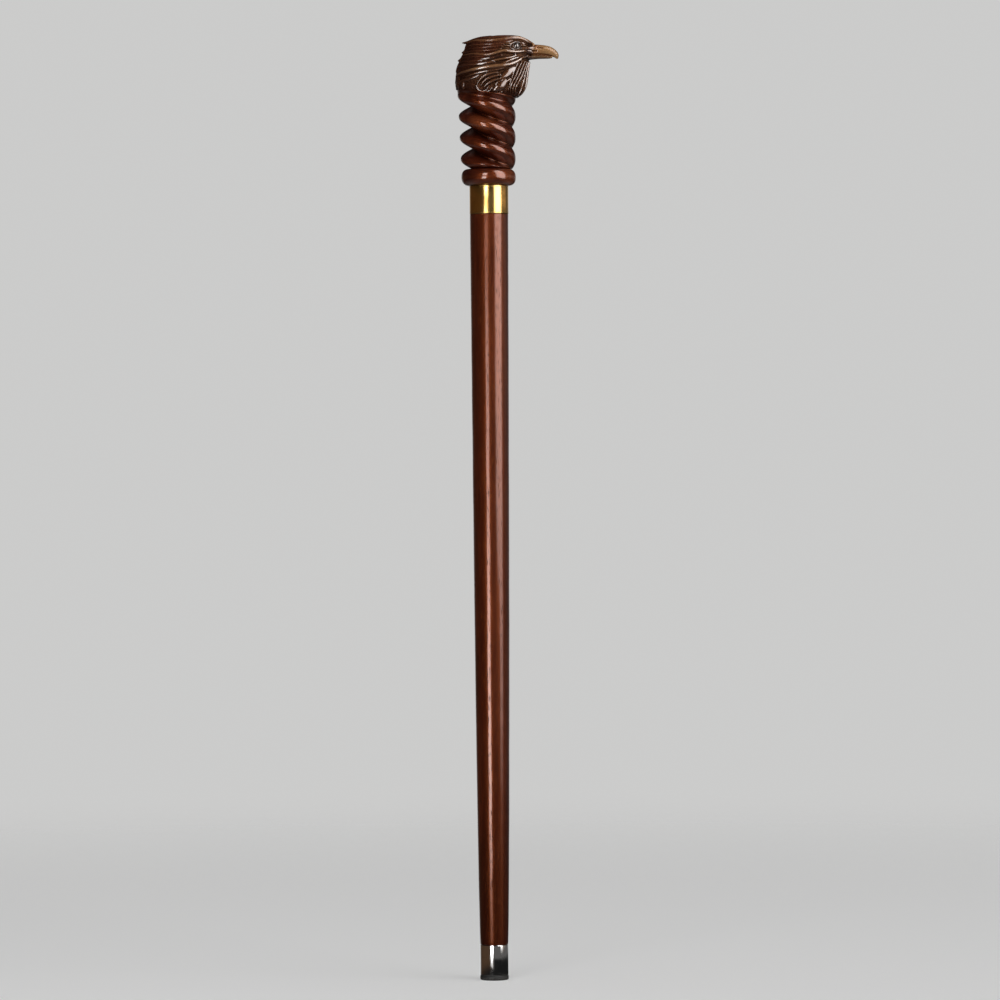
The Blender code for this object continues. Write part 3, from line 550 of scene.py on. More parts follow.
tenon_radius = collar_bore - SPIGOT_FIT
first_ring, first_hollow = grip_section(grip_foot)
start = [atan2(y, x) for x, y, z in first_ring]
sections = [
    ([(tenon_radius * cos(a), tenon_radius * sin(a), z) for a in start], first_hollow)
    for z in (tenon_low, grip_foot)
]
levels = [grip_foot + RING_HEIGHT * (1 - cos(a)) / 2 for a in np.linspace(0, pi, RING_LEVELS)]
levels += [ring_top + SHOULDER * (i / SHOULDER_LEVELS) ** 1.6 for i in range(1, SHOULDER_LEVELS + 1)]
twist_top = grip_seat + SEAT_SLOPE * GRIP_TOP + SEAT_SPARE
levels += list(np.arange(levels[-1] + TWIST_STEP, twist_top, TWIST_STEP))
sections += [grip_section(z) for z in levels]
rope_grip = skin("rope_grip", [ring for ring, hollow in sections])
hollows = rope_grip.data.attributes.new("hollow", "FLOAT", "POINT")
hollows.data.foreach_set("value", [depth for ring, hollow in sections for depth in hollow])


def cut_on_seat(piece, height, keep_below):
    """Cuts a piece along the sloping seat between grip and head, and closes the cut."""
    form = bmesh.new()
    form.from_mesh(piece.data)
    made = bmesh.ops.bisect_plane(
        form,
        geom=form.verts[:] + form.edges[:] + form.faces[:],
        dist=1e-7,
        plane_co=(0, 0, height),
        plane_no=Vector((SEAT_SLOPE, 0, 1)),
        clear_outer=keep_below,
        clear_inner=not keep_below,
    )
    rim = [item for item in made["geom_cut"] if isinstance(item, bmesh.types.BMEdge)]
    bmesh.ops.holes_fill(form, edges=rim, sides=0)
    form.to_mesh(piece.data)
    form.free()


cut_on_seat(rope_grip, grip_seat, True)

red_mahogany, tree, shader = new_material(
    "red_mahogany", specular_ior_level=0.9, specular_tint=WOOD_TINT, coat_roughness=0.06, coat_ior=1.55
)
wood = use(tree, grain, Across=300, Along=24, Pore_Across=1300, Pore_Along=200)
marks = use(tree, handling, Patches=55, Amount=0.7)
hollow = put(tree, "Attribute", {}, attribute_name="hollow")["Fac"]
x, y, z = (place(tree, axis) for axis in range(3))
color = mixed(wood["Figure"], (0.032, 0.0038, 0.0018), (0.096, 0.015, 0.0046))
color = mixed(wood["Streaks"] * 0.5, color, (0.024, 0.0034, 0.0018))
either_side = put(tree, "CombineXYZ", {0: x, 1: abs(y), 2: z})[0]
# Round each spot the wood is painted lighter, as wear with painted sheen and light.
for (*spot, rise), reach in WORN_AND_SHEEN_SPOTS:
    feeds = {0: either_side, 1: (*spot, grip_foot + rise)}
    away = put(tree, "VectorMath", feeds, operation="DISTANCE")["Value"]
    color = mixed(eased(away, reach, reach * 0.3, 0, 0.75), color, (0.21, 0.05, 0.0165))
color = mixed(wood["Pores"] * 0.6, color, (0.01, 0.0018, 0.001))
# Darker in the grooves and where the ring and its shoulder draw in: stain collects there, and the rest is
# painted shade.
color = mixed(eased(hollow, 0.45, 0.95, 0, 0.9), color, (0.008, 0.0014, 0.0008))
# Painted shade: the top of the grip is painted dark just under the head.
shade_under_head = eased(z + x * SEAT_SLOPE, grip_seat - 0.009, grip_seat - 0.001)
color = mixed(shade_under_head * 0.8, color, (0.012, 0.0018, 0.0009))
dulled = most(shade_under_head * 0.6, eased(hollow, 0.3, 0.8, 0, 0.5))
feed(
    shader,
    base_color=color,
    roughness=marks["Patches"] * 0.08 + 0.32,
    coat_weight=0.85 - most(wood["Pores"] * 0.5, dulled),
    normal=relief(wood["Pores"] + wood["Streaks"] * 0.4, -0.00004),
)
finished(rope_grip, red_mahogany, "grip_wood", "twist_grip")


# Eagle's head. One block, carved by hand: skull, hooked beak, lidded eyes, and long feather locks that
# sweep back from the face. Dark stain was rubbed off the ridges before it was varnished.
# Its forms are drawn in millimetres over the seat: x towards the beak, y to a side and z up.
HEAD_SEAT = grip_seat + SEAT_GAP
SKULL = [  # height, nape, face, half width
    (-9, -29.6, 28, 25.2),
    (-1, -30.6, 31.8, 25.8),
    (7, -30.8, 35.6, 25.8),
    (14, -30.2, 36.8, 25),
    (21, -29.5, 37.8, 23.8),
    (27, -28, 39, 22.6),
    (33, -25.3, 40, 21.4),
    (39, -22.3, 40.8, 20.6),
    (44, -20.6, 41.5, 19.8),
    (48, -19.4, 41, 18.6),
    (51.2, -16, 38, 16.2),
    (53.8, -6.5, 34.5, 12.6),
    (55.1, 3, 30.5, 8.6),
    (55.7, 10, 26, 4.5),
]
SKULL_LEVELS, SKULL_SIDES = 60, 80
SKULL_ROUNDNESS, FACE_TAPER = 2.25, 0.22
RIM_ROLL, RIM_HEIGHT = 0.05, 2.6
UPPER_BEAK = [  # top x, top z, underside x, underside z, half width
    (33, 46.5, 33, 35.4, 11.4),
    (40.5, 47.2, 40.5, 36.1, 9.6),
    (45, 47.4, 44.8, 36.4, 8.4),
    (50.5, 47.1, 49.8, 36.6, 7.4),
    (56.2, 46.4, 55, 36.5, 6.4),
    (61.3, 44.9, 59.4, 36.1, 5.4),
    (65.2, 42.3, 62.6, 35.6, 4.4),
    (67.8, 39.2, 64.8, 34.6, 3.4),
    (68.6, 36.3, 66.2, 33.6, 2.3),
    (68, 34, 67.2, 33.3, 1.1),
]
LOWER_BEAK = [
    (33, 36.9, 33, 31.5, 9.6),
    (40.5, 37.6, 40.5, 32.8, 8.2),
    (46, 37.8, 46, 33.4, 7.1),
    (52, 37.6, 52, 33.7, 6),
    (58, 37.1, 57.5, 33.7, 4.7),
    (62.6, 36.2, 62, 34.2, 3.1),
]
BEAK_SIDES, BEAK_RIDGE, BEAK_FULLNESS = 36, 1.05, 0.66
BEAK_ROOT, BEAK_CHIN, ROOT_BLEND, CHIN_BLEND = 41.5, 31.5, 4, 1.5
EYE = (27.3, 45.1)
EYE_RADIUS, EYE_SINK = 3.6, 1.1
BALL_LEVELS, BALL_SIDES = 20, 32
SOCKET_REACH, SOCKET_DEPTH, SOCKET_FLATNESS = 5.4, 3.6, 1.3
SIGHT = (8.6, 4600, -393)  # the eye that the routes are drawn for: x, how far to the side, height
OUTSIDE = 60  # clear of the head
BLANK_GRAIN, CARVING_GRAIN = 0.8, 0.43
LOCK_LEVELS, LOCK_SIDES = 40, 24
LOCK_ROOT, LOCK_WIDEST, LOCK_TIP = 0.6, 0.35, 0.12
LOCK_SINK, TIP_BEND = 1.5, 2.5
BARE_TONE, MARK_REACH, GOUGE_STROKES = 0.06, 2.2, 7.5

# Feather locks on each side: route, width, height, tip lift, tone. A route runs from root to tip. Its
# (x, z) points lie on the side of the head and its (x, y, z) points on the nearest part of it. A tip
# without a lift stands free at the route's last point. A low tone is dark red and a high one rubbed tan.
SIDE_LOCKS = [
    # brow, run back as the crest
    ([(44.8, 45.9), (42, 47.9), (37.2, 50.7), (31.7, 53), (24, 53.9), (16.5, 52.3), (6.8, 51.4),
      (-5, 51), (-14, 9, 50.8), (-23.8, 3.2, 49.4)], 4.8, 2.9, None, 1),
    # crown strands
    ([(31.7, 54.4), (22, 55.4), (9.6, 55), (0, 54.2), (-10.5, 7, 52.6)], 3, 1.3, 0.3, 0.28),
    ([(35, 1.6, 52), (27, 3.4, 54.8), (14, 4.2, 55.8), (0, 4, 55), (-13, 3, 52.6)], 2.8, 0.9, 0.2, 0.28),
    # strands under the crest
    ([(15.1, 48.6), (6.8, 48.2), (-7.1, 47.7), (-15.5, 11.5, 47.2),
      (-20.8, 2.5, 46.2)], 2.8, 1.7, None, 0.2),
    ([(13.7, 46.3), (4, 45.7), (-7.1, 44.6), (-16, 12, 43.8), (-22.4, 2.5, 42.4)], 3, 1.8, None, 0.15),
    ([(13, 43.9), (4, 42.5), (-5, 41.8), (-16.5, 12.4, 41), (-24.6, 2.5, 39.8)], 2.8, 1.8, None, 0.25),
    # cheek lock from under the eye
    ([(35.1, 41.6), (27.5, 40.4), (20.6, 41), (15, 41.9), (6.7, 39.3), (-0.2, 37.8), (-7.1, 38.1),
      (-14.7, 38.6), (-19.8, 12.5, 38), (-24.4, 5, 37.6)], 4.4, 2.7, None, 0.8),
    # light ridges behind the jaw
    ([(27.4, 37.2), (21.9, 35.3), (12.9, 33.6), (6.7, 32.4), (0.1, 30.6)], 3, 2.1, 0.6, 0.55),
    ([(29.5, 35.6), (24.7, 33.9), (19.1, 31.7), (14.6, 29.7), (8, 28.7)], 3.2, 2.2, 0.6, 0.55),
    ([(13.6, 38), (6.7, 36), (-0.2, 34.5), (-8.5, 34), (-16.8, 33.4)], 3.4, 1.4, 0.4, 0.1),
    ([(-4, 36.6), (-11, 36.2), (-18.6, 13.6, 35.6), (-27.6, 3, 34)], 2.8, 1.4, None, 0.12),
    ([(-5, 32.4), (-13, 32.2), (-20.8, 14, 31.6), (-28.4, 3, 31)], 3.2, 1.5, None, 0.12),
    # red lock under them
    ([(6.7, 31.3), (-0.3, 30.1), (-8.6, 29.2), (-16.9, 28.6), (-24.2, 13, 27.8),
      (-29.8, 3, 26)], 4.4, 2.1, None, 0.22),
    # long locks from the jaw to the nape
    ([(31.6, 34), (27.4, 31.2), (21.9, 28.8), (14.9, 27.4), (6.6, 26.6), (-1.7, 25.5), (-10, 24.2),
      (-19, 22.3), (-27, 13, 20), (-31.4, 3.4, 17.2)], 5.8, 3.4, None, 0.95),
    ([(27.4, 28.6), (20.5, 26.6), (12.1, 24.6), (3.8, 22.7), (-5.2, 21.3), (-14.2, 19.2),
      (-22.5, 16.2)], 4, 2, 0.6, 0.35),
    ([(-9, 18), (-17, 15.2), (-24.6, 14, 12), (-29, 8, 9.4)], 4.2, 1.5, 0.4, 0.18),
    # curls over the neck
    ([(9.3, 20.6), (2.4, 19.5), (-3.5, 17.2), (-7.6, 13.7), (-10.4, 9.5)], 3.8, 2.8, 0.6, 0.35),
    ([(12.1, 18.3), (5.2, 16.9), (-1.1, 14.4), (-5.3, 10.7), (-6.8, 7)], 3.4, 2.5, 0.5, 0.3),
    ([(12.1, 14.7), (5.8, 13.3), (1, 10.8), (-2.4, 8.2), (-4.6, 4.9)], 3.2, 2.3, 0.5, 0.3),
    ([(-11.6, 8.4), (-9.6, 4.6), (-5.4, 2.8), (-1.6, 4.4), (0.2, 7.6)], 3.4, 2.4, 0.4, 0.4),
    ([(3.7, 6.4), (0.9, 3.2), (-4.6, 1.2), (-11.5, 1)], 2.8, 1.7, 0.3, 0.3),
    ([(13.4, 2.4), (7.8, 0.2), (2.3, 0.2), (-2.6, 1.3)], 2.8, 1.7, 0.3, 0.3),
    # broad feathers under the jaw
    ([(25.6, 25), (21.2, 21.6), (16.2, 17.6), (10.2, 13.6)], 8.8, 2.6, 0.7, 0.45),
    ([(17.4, 13.2), (13.3, 9.2), (8.6, 5.4), (3.4, 2.8)], 9.4, 2.6, 0.6, 0.45),
    ([(18.3, 15.8), (13.4, 13.3), (9.3, 11.3), (5.8, 7.8)], 3, 2, 0.5, 0.35),
    ([(22.4, 15.4), (18.3, 12.6), (14.8, 9.5)], 3, 2.2, 0.5, 0.5),
    # throat strands
    ([(29.5, 31.3), (26.3, 26), (23.9, 20.6), (22.1, 15.4), (20.3, 10.2), (19.3, 5),
      (18.9, 1.5)], 2.4, 2.4, 0.4, 0.3),
    ([(32.6, 31.6), (29.4, 26.1), (27.3, 20.6), (24.7, 15.4), (22.1, 10.2), (20.8, 5),
      (21.5, 0)], 2.4, 2.5, 0.4, 0.35),
    ([(35, 31.6), (32.3, 26.1), (30.2, 20.6), (27.6, 15.4), (24.9, 10.2), (23.1, 5),
      (23.6, -1.2)], 2.4, 2.5, 0.4, 0.35),
    ([(37, 31.4), (34.9, 26.1), (32.9, 20.6), (30.5, 15.4), (27.7, 10.2), (25.5, 5),
      (25.2, -2.2)], 2.4, 2.5, 0.4, 0.4),
    ([(38.6, 4.6, 31), (36.9, 7.6, 26), (35.2, 9, 20.6), (33.3, 9.4, 15.4), (30.8, 9.4, 10.2),
      (28.7, 9, 5), (28, 8.6, -2.6)], 2.4, 2.4, 0.4, 0.35),
    ([(39.4, 2.2, 31), (38.3, 4, 26), (37.2, 4.6, 20.6), (35.6, 4.8, 15.4), (33.6, 4.8, 10.2),
      (31.6, 4.6, 5), (30.3, 4.4, -3)], 2.8, 2.2, 0.3, 0.3),
    # cheek strand by the mouth's corner
    ([(38.5, 36.4), (33.7, 35.2), (29.5, 33.2), (26.7, 29.8), (24.6, 25.1)], 2.6, 1.9, 0.4, 0.45),
    # eyelids, and the fold behind the eye
    ([(20.6, 46), (23, 48.8), (26.8, 50.2), (31, 49.2), (34, 46.6)], 1.7, 1.5, 0, 0.3),
    ([(20.8, 45.4), (23.6, 43.3), (27.6, 42.5), (31.4, 43.3), (34, 45.8)], 1.6, 1.2, 0, 0.3),
    ([(24.6, 51.6), (20, 50.6), (15.6, 50.2), (11, 50)], 1.8, 1.1, 0.2, 0.55),
    ([(22.8, 48.9), (19.5, 48.7), (15.6, 49)], 1.7, 1.6, 0.2, 0.8),
    ([(22.2, 46.6), (18.6, 46.4), (14.4, 46.9)], 1.6, 1.5, 0.2, 0.7),
    ([(31.8, 46.9), (34.8, 46.3), (38.6, 46)], 1.2, 1.5, 0, 0.75),
    ([(23.6, 39), (25.8, 39.2), (26, 37.4), (24, 36.8)], 1.7, 1.3, 0.1, 0.35),
    # low on the back of the neck
    ([(-27.4, 9.6, 17), (-29.2, 10, 11), (-29.2, 9.6, 4.4)], 6.2, 1.5, 0.4, 0.3),
    ([(-23.6, 15.6, 14), (-25, 16.4, 8.6), (-25.2, 16.6, 3.6)], 5.6, 1.3, 0.3, 0.22),
]
MIDDLE_LOCKS = [  # along the middle of crown, nape and throat, as (x, z)
    ([(37, 50.5), (29, 54), (16, 55.6), (3, 55.4), (-9, 53.6)], 3.2, 0.9, 0.2, 0.45),
    ([(4, 55), (-5, 54), (-13, 52.2), (-25.2, 49.7)], 7.6, 1.9, None, 0.7),
    ([(-16.5, 49), (-19.4, 45.6), (-21.6, 42.4), (-25.7, 39.9)], 7.6, 2.1, None, 0.6),
    ([(-20.6, 39.5), (-23.6, 36.4), (-26.2, 34), (-29.4, 32.2)], 8, 2.1, None, 0.5),
    ([(-25, 32), (-27.6, 28), (-29.6, 24.5), (-31.2, 21)], 8.2, 2, None, 0.6),
    ([(-28.4, 23), (-29.8, 18.5), (-30.8, 14), (-31.8, 10)], 8.4, 1.5, None, 0.45),
    ([(-30.2, 13), (-30.6, 9), (-30.8, 6), (-31, 3.4)], 8.4, 1.2, None, 0.35),
    ([(39.6, 31), (38.4, 24), (37.4, 17), (35.6, 8), (33.4, 3), (31, -3)], 2.8, 2, 0.2, 0.65),
]


def through(points, count):
    """Points along a smooth curve through the given ones, at an even pace."""
    knots = np.array(points, float)
    knots = np.vstack([2 * knots[0] - knots[1], knots, 2 * knots[-1] - knots[-2]])
    pace = np.concatenate([[0], np.cumsum(np.sqrt(np.linalg.norm(np.diff(knots, axis=0), axis=1)))])
    curve = []
    for spot in np.linspace(pace[1], pace[-2], count):
        i = min(len(knots) - 3, max(1, int(np.searchsorted(pace, spot, "right") - 1)))
        layer, times = knots[i - 1 : i + 3], pace[i - 1 : i + 3]
        for step in (1, 2):
            early, late = times[:-step, None], times[step:, None]
            layer = ((late - spot) * layer[:-1] + (spot - early) * layer[1:]) / (late - early)
        curve.append(((times[2] - spot) * layer[0] + (spot - times[1]) * layer[1]) / (times[2] - times[1]))
    return np.array(curve)


def skull_sections():
    """Level sections of skull and neck, drawn in at the seat, with the eye sockets pressed in."""
    rings = []
    for z, nape, face, half_width in through(SKULL, SKULL_LEVELS):
        ring = []
        for angle in one_turn(SKULL_SIDES):
            c, s = cos(angle), sin(angle)
            bulge = (abs(c) ** SKULL_ROUNDNESS + abs(s) ** SKULL_ROUNDNESS) ** (-1 / SKULL_ROUNDNESS)
            x = (nape + face) / 2 + (face - nape) / 2 * c * bulge
            y = half_width * s * bulge * (1 - FACE_TAPER * max(0, c * bulge) ** 2)
            roll = 1 - RIM_ROLL * exp(-((max(0, z + SEAT_SLOPE * x) / RIM_HEIGHT) ** 2))
            away = hypot(x - EYE[0], SOCKET_FLATNESS * (z - EYE[1])) / SOCKET_REACH
            y -= copysign(min(abs(y), SOCKET_DEPTH * exp(-(away**2))), y)
            ring.append((x * roll, y * roll, z))
        rings.append(ring)
    return rings


def beak_sections(table, count):
    """Sections across half of the beak, square to its run."""
    rings = []
    for top_x, top_z, low_x, low_z, half_width in through(table, count):
        ring = []
        for angle in one_turn(BEAK_SIDES):
            rise, side = sin(angle), cos(angle)
            share = (1 + copysign(abs(rise) ** BEAK_RIDGE, rise)) / 2
            y = -half_width * copysign(abs(side) ** BEAK_FULLNESS, side)
            ring.append((low_x + (top_x - low_x) * share, y, low_z + (top_z - low_z) * share))
        rings.append(ring)
    return rings


def ball_sections(x, y, z):
    """Level sections of the eye's ball round its centre."""
    rings = []
    for polar in np.linspace(0, pi, BALL_LEVELS)[1:-1]:
        out, level = EYE_RADIUS * sin(polar), z - EYE_RADIUS * cos(polar)
        rings.append([(x + out * cos(a), y + out * sin(a), level) for a in one_turn(BALL_SIDES)])
    return rings


def swept(mesh):
    """Only the biggest connected part of a mesh: the crumbs and closed pockets of a meld are dropped."""
    form = bmesh.new()
    form.from_mesh(mesh)
    left, biggest = set(form.verts), set()
    while left:
        part, open_ends = set(), [left.pop()]
        while open_ends:
            corner = open_ends.pop()
            part.add(corner)
            near = {edge.other_vert(corner) for edge in corner.link_edges} & left
            left -= near
            open_ends += near
        biggest = max(biggest, part, key=len)
    bmesh.ops.delete(form, geom=[corner for corner in form.verts if corner not in biggest], context="VERTS")
    form.to_mesh(mesh)
    form.free()


def melded(name, forms, cut, passes):
    """Overlapping closed forms run together into one, with cuts no finer than the given one."""
    points, faces = [], []
    for rings in forms:
        rings = np.asarray(rings, float)
        faces += walled(rings, len(points))
        points += rings.reshape(-1, 3).tolist()
    mesh = bpy.data.meshes.new(name)
    mesh.from_pydata(points, [], faces)
    made = placed(name, mesh)
    remesh = made.modifiers.new("meld", "REMESH")
    remesh.mode, remesh.voxel_size = "VOXEL", cut
    made.modifiers.new("soften", "SMOOTH").iterations = passes
    shape = bpy.data.meshes.new_from_object(made.evaluated_get(bpy.context.evaluated_depsgraph_get()))
    made.modifiers.clear()
    made.data = shape
    swept(shape)
    return made


skull_forms = [skull_sections(), beak_sections(UPPER_BEAK, 32), beak_sections(LOWER_BEAK, 20)]
blank = melded("head_blank", skull_forms, BLANK_GRAIN, 4)
blank_surface = BVHTree.FromObject(blank, bpy.context.evaluated_depsgraph_get())
bpy.data.objects.remove(blank)


def on_blank(point, side):
    """A point of a lock's route. Routes are drawn as they look from the side at the cane's middle height,
    so each point is carried along its line of sight."""
    drawn = Vector((point[0], 0, point[-1]))
    sight = (Vector((SIGHT[0], side * SIGHT[1], SIGHT[2])) - drawn) / SIGHT[1]
    if len(point) == 3:
        return drawn + sight * point[1]
    hit = blank_surface.ray_cast(drawn + sight * OUTSIDE, -sight)[0]
    return hit or blank_surface.find_nearest(drawn + sight * 2)[0]


lock_marks = []  # places on the locks, how far across each lies in millimetres, and the lock's tone


def lock_sections(route, width, height, tip_lift, tone, side):
    """A feather lock laid on the head: keeled over its back, sunk into the head beneath, pointed at its tip.
    """
    places, normals = [], []
    for i, spot in enumerate(through([on_blank(point, side) for point in route], LOCK_LEVELS)):
        near, normal = blank_surface.find_nearest(spot)[:2]
        free = Vector(spot) if tip_lift is None else near + normal * tip_lift
        places.append(near.lerp(free, (i / (LOCK_LEVELS - 1)) ** TIP_BEND))
        normals.append(normal)
    places, normals = np.array(places), np.array(normals)
    for _ in range(3):
        for line in (places, normals):
            line[1:-1] = (line[:-2] + 2 * line[1:-1] + line[2:]) / 4
    rings = []
    for i in range(LOCK_LEVELS):
        run = places[min(i + 1, LOCK_LEVELS - 1)] - places[max(i - 1, 0)]
        run /= np.linalg.norm(run)
        up = normals[i] - run * np.dot(normals[i], run)
        up /= np.linalg.norm(up)
        across = np.cross(run, up)
        share = i / (LOCK_LEVELS - 1)
        swell = (LOCK_ROOT + (1 - LOCK_ROOT) * min(1, share / LOCK_WIDEST)) * (1 - share**3) ** 0.75
        half_width = width * max(swell, LOCK_TIP) / 2
        crown = height * max(min(1, 0.75 + 0.6 * share) * (1 - share**4) ** 0.6, 0.15)
        sunk = LOCK_SINK * min(1, 0.4 + swell)
        ring = []
        for angle in np.linspace(tau, 0, LOCK_SIDES, endpoint=False):
            rise, over = sin(angle), cos(angle)
            lift = crown * abs(rise) ** 1.25 if rise > 0 else -sunk * abs(rise)
            spot = places[i] + across * half_width * over + up * lift
            ring.append(spot)
            if rise > -0.2:
                lock_marks.append((spot, half_width * over, tone))
        rings.append(ring)
    return rings


head_forms = skull_forms[:]
for side in (1, -1):
    socket = blank_surface.ray_cast((EYE[0], side * OUTSIDE, EYE[1]), (0, -side, 0))[0]
    eye_ball = (EYE[0], side * (abs(socket.y) - EYE_SINK), EYE[1])
    head_forms.append(ball_sections(*eye_ball))
    head_forms += [lock_sections(*lock, side) for lock in SIDE_LOCKS]
for route, *shape in MIDDLE_LOCKS:
    head_forms.append(lock_sections([(x, 0, z) for x, z in route], *shape, 1))
carved_head = melded("carved_head", head_forms, CARVING_GRAIN, 1)
carving = carved_head.data


def read(items, label, kind=float, each=3):
    """One measure of each point or edge of a mesh, as rows."""
    values = np.zeros(len(items) * each, kind)
    items.foreach_get(label, values)
    return values.reshape(-1, each)


# The mouth line, the nostrils and the creases of the cere are cut with a fine gouge.
CUTS = [  # route in (x, z), width, depth
    ([(35.5, 36), (39, 36.8), (44, 37.2), (51, 37.1), (57, 36.7), (61, 36.1)], 0.6, 0.6),
    ([(43.6, 41), (45, 41.4), (46.6, 41.2)], 0.8, 1.4),
    ([(36, 42.2), (39.5, 42.4), (43.6, 41.6)], 0.5, 0.5),
    ([(48.4, 45.2), (50.6, 44.6), (52.8, 44.4)], 0.6, 0.8),
    ([(48.4, 45), (47.4, 42), (46.6, 39.6)], 0.6, 0.3),
]
points, normals = read(carving.vertices, "co"), read(carving.vertices, "normal")
shift = (np.array((SIGHT[0], SIGHT[2])) - points[:, [0, 2]]) * np.abs(points[:, 1:2]) / SIGHT[1]
sighted = np.array_split(points[:, [0, 2]] - shift, 8)  # in lots, to spare memory
side_on = np.clip(np.abs(normals[:, 1]) * 2 - 0.4, 0, 1)
for route, width, depth in CUTS:
    line = through(route, 60)
    away = np.concatenate([np.sqrt(((lot[:, None] - line) ** 2).sum(2)).min(1) for lot in sighted])
    points -= normals * (depth * np.exp(-((away / width) ** 2)) * side_on)[:, None]

# How far each point stands proud of the surface round it, from fine to broad: the ridges were rubbed.
ends = read(carving.edges, "vertices", np.int64, 2)
count = np.bincount(ends.ravel(), minlength=len(points)).astype(float)


def averaged(values, passes):
    """Values evened out between neighbouring points."""
    for _ in range(passes):
        total = np.bincount(ends[:, 0], values[ends[:, 1]], len(values))
        total += np.bincount(ends[:, 1], values[ends[:, 0]], len(values))
        values = (values + total) / (count + 1)
    return values


even, proud = points, 0
for passes, full_height in ((14, 0.3), (60, 0.9)):
    even = np.stack([averaged(even[:, axis], passes) for axis in range(3)], axis=1)
    proud = proud + ((points - even) * normals).sum(1) / full_height
proud = averaged(proud, 1)

tree_of_marks = KDTree(len(lock_marks))
for i, (spot, across, tone) in enumerate(lock_marks):
    tree_of_marks.insert(spot, i)
tree_of_marks.balance()
strokes, tones = np.zeros(len(points)), np.full(len(points), BARE_TONE)
for i, point in enumerate(points):
    spot, mark, away = tree_of_marks.find(point)
    if away < MARK_REACH:
        strokes[i], tones[i] = lock_marks[mark][1:]
on_beak = np.clip((points[:, 0] - BEAK_ROOT) / ROOT_BLEND, 0, 1)
on_beak *= np.clip((points[:, 2] - BEAK_CHIN) / CHIN_BLEND, 0, 1)
one_side = np.stack([points[:, 0], np.abs(points[:, 1]), points[:, 2]], axis=1)
from_eye = np.linalg.norm(one_side - (eye_ball[0], abs(eye_ball[1]), eye_ball[2]), axis=1)
on_eye = np.clip((EYE_RADIUS + 0.35 - from_eye) / 0.3, 0, 1)
# Painted shade: round the eye the carving counts as sunk deeper, so it takes the dark of the creases, and
# its tone is dimmed.
socket_shade = np.clip((2 * EYE_RADIUS - from_eye) / 2.6, 0, 1)
proud, tones = proud - socket_shade, averaged(tones, 3) * (1 - 0.5 * socket_shade)
carving.vertices.foreach_set("co", points.ravel())
marks = {"proud": proud, "stroke": strokes, "tone": tones, "beak": on_beak, "eye": on_eye}
for label, values in marks.items():
    attribute = carving.attributes.new(label, "FLOAT", "POINT")
    attribute.data.foreach_set("value", values.astype(np.float32))
carving.transform(Matrix.Translation((0, 0, HEAD_SEAT)) @ Matrix.Scale(0.001, 4))
cut_on_seat(carved_head, HEAD_SEAT, False)

antiqued_wood, tree, shader = new_material(
    "antiqued_wood",
    specular_ior_level=0.4,
    specular_tint=(1, 0.45, 0.22, 1),
    coat_roughness=0.06,
    coat_ior=2,
)
wood = use(tree, grain, Across=380, Along=40, Pore_Across=1700, Pore_Along=300)
proud, stroke, tone, beak, eye = (put(tree, "Attribute", {}, attribute_name=label)["Fac"] for label in marks)
x, z = place(tree, 0), place(tree, 2)
crown = eased(z - x * 0.7, HEAD_SEAT + 0.0335, HEAD_SEAT + 0.037)
top = eased(z, HEAD_SEAT + 0.0485, HEAD_SEAT + 0.051, 0, 0.6)
handled = most(crown, eased(x, -0.008, -0.016, 0, 0.8), top)
beside_jaw = eased(abs(x - 0.0165), 0.003, 0.009, 0.6, 1)
lower_bill = eased(z, HEAD_SEAT + 0.0368, HEAD_SEAT + 0.036) * eased(x, 0.063, 0.058)
low_neck = eased(z + x * SEAT_SLOPE, HEAD_SEAT + 0.009, HEAD_SEAT + 0.001, 0, 0.8)
worn = proud + (cloud(tree, 800, 4) - 0.5) * 0.9
worn = worn * (1 - crown * 0.35) + crown * 0.15

locks = mixed(tone, (0.03, 0.0042, 0.0017), (0.19, 0.07, 0.025))
locks = mixed(wood["Streaks"] * 0.4, locks, (0.045, 0.013, 0.006))
horn = mixed(eased(x, 0.042, 0.058), (0.44, 0.16, 0.055), (0.62, 0.34, 0.145))
locks = mixed(beak, locks, horn)
rubbed = mixed(tone, (0.08, 0.016, 0.007), (0.45, 0.225, 0.1))
rubbed = mixed(beak, rubbed, (0.66, 0.39, 0.18))
creases = mixed(beak, (0.005, 0.0012, 0.0006), (0.13, 0.052, 0.019))
color = mixed(eased(worn, -0.3, 0.65), creases, locks)
color = mixed(eased(worn, 0.5, 1.7), color, rubbed)
color = mixed(beak * (lower_bill * 0.75), color, (0.11, 0.052, 0.024))
color = mixed(crown * 0.45, color, (0.075, 0.013, 0.006))
color = mixed(wood["Pores"] * 0.35, color, (0.01, 0.003, 0.0015))
# The head's lower rim is tinted toward the grip's red and painted darker as shade at the joint.
color = mixed(low_neck, color, (0.022, 0.0034, 0.0016))
# Painted shade: the back of the head, turned away from the lamps, is painted darker.
color = mixed(eased(x, -0.008, -0.018, 0, 0.6), color, (0.016, 0.0036, 0.0018))
color = mixed(eye, color, (0.01, 0.0045, 0.003))
gouge = worked("SINE", stroke * GOUGE_STROKES) * (1 - beak)
roughness = (eased(worn, -0.6, 0.8, 0.36, 0.22) + handled * 0.2) * eased(eye, 0, 1, 1, 0.25)
coated = eased(worn, -0.3, 0.6) * beside_jaw * (1 - most(handled, beak) * 0.8)
feed(
    shader,
    base_color=color,
    roughness=roughness,
    coat_weight=most(eye, coated),
    normal=relief(gouge * 0.5 - wood["Pores"], 0.00006),
)
finished(carved_head, antiqued_wood, "carved_wood", "eagle_head")


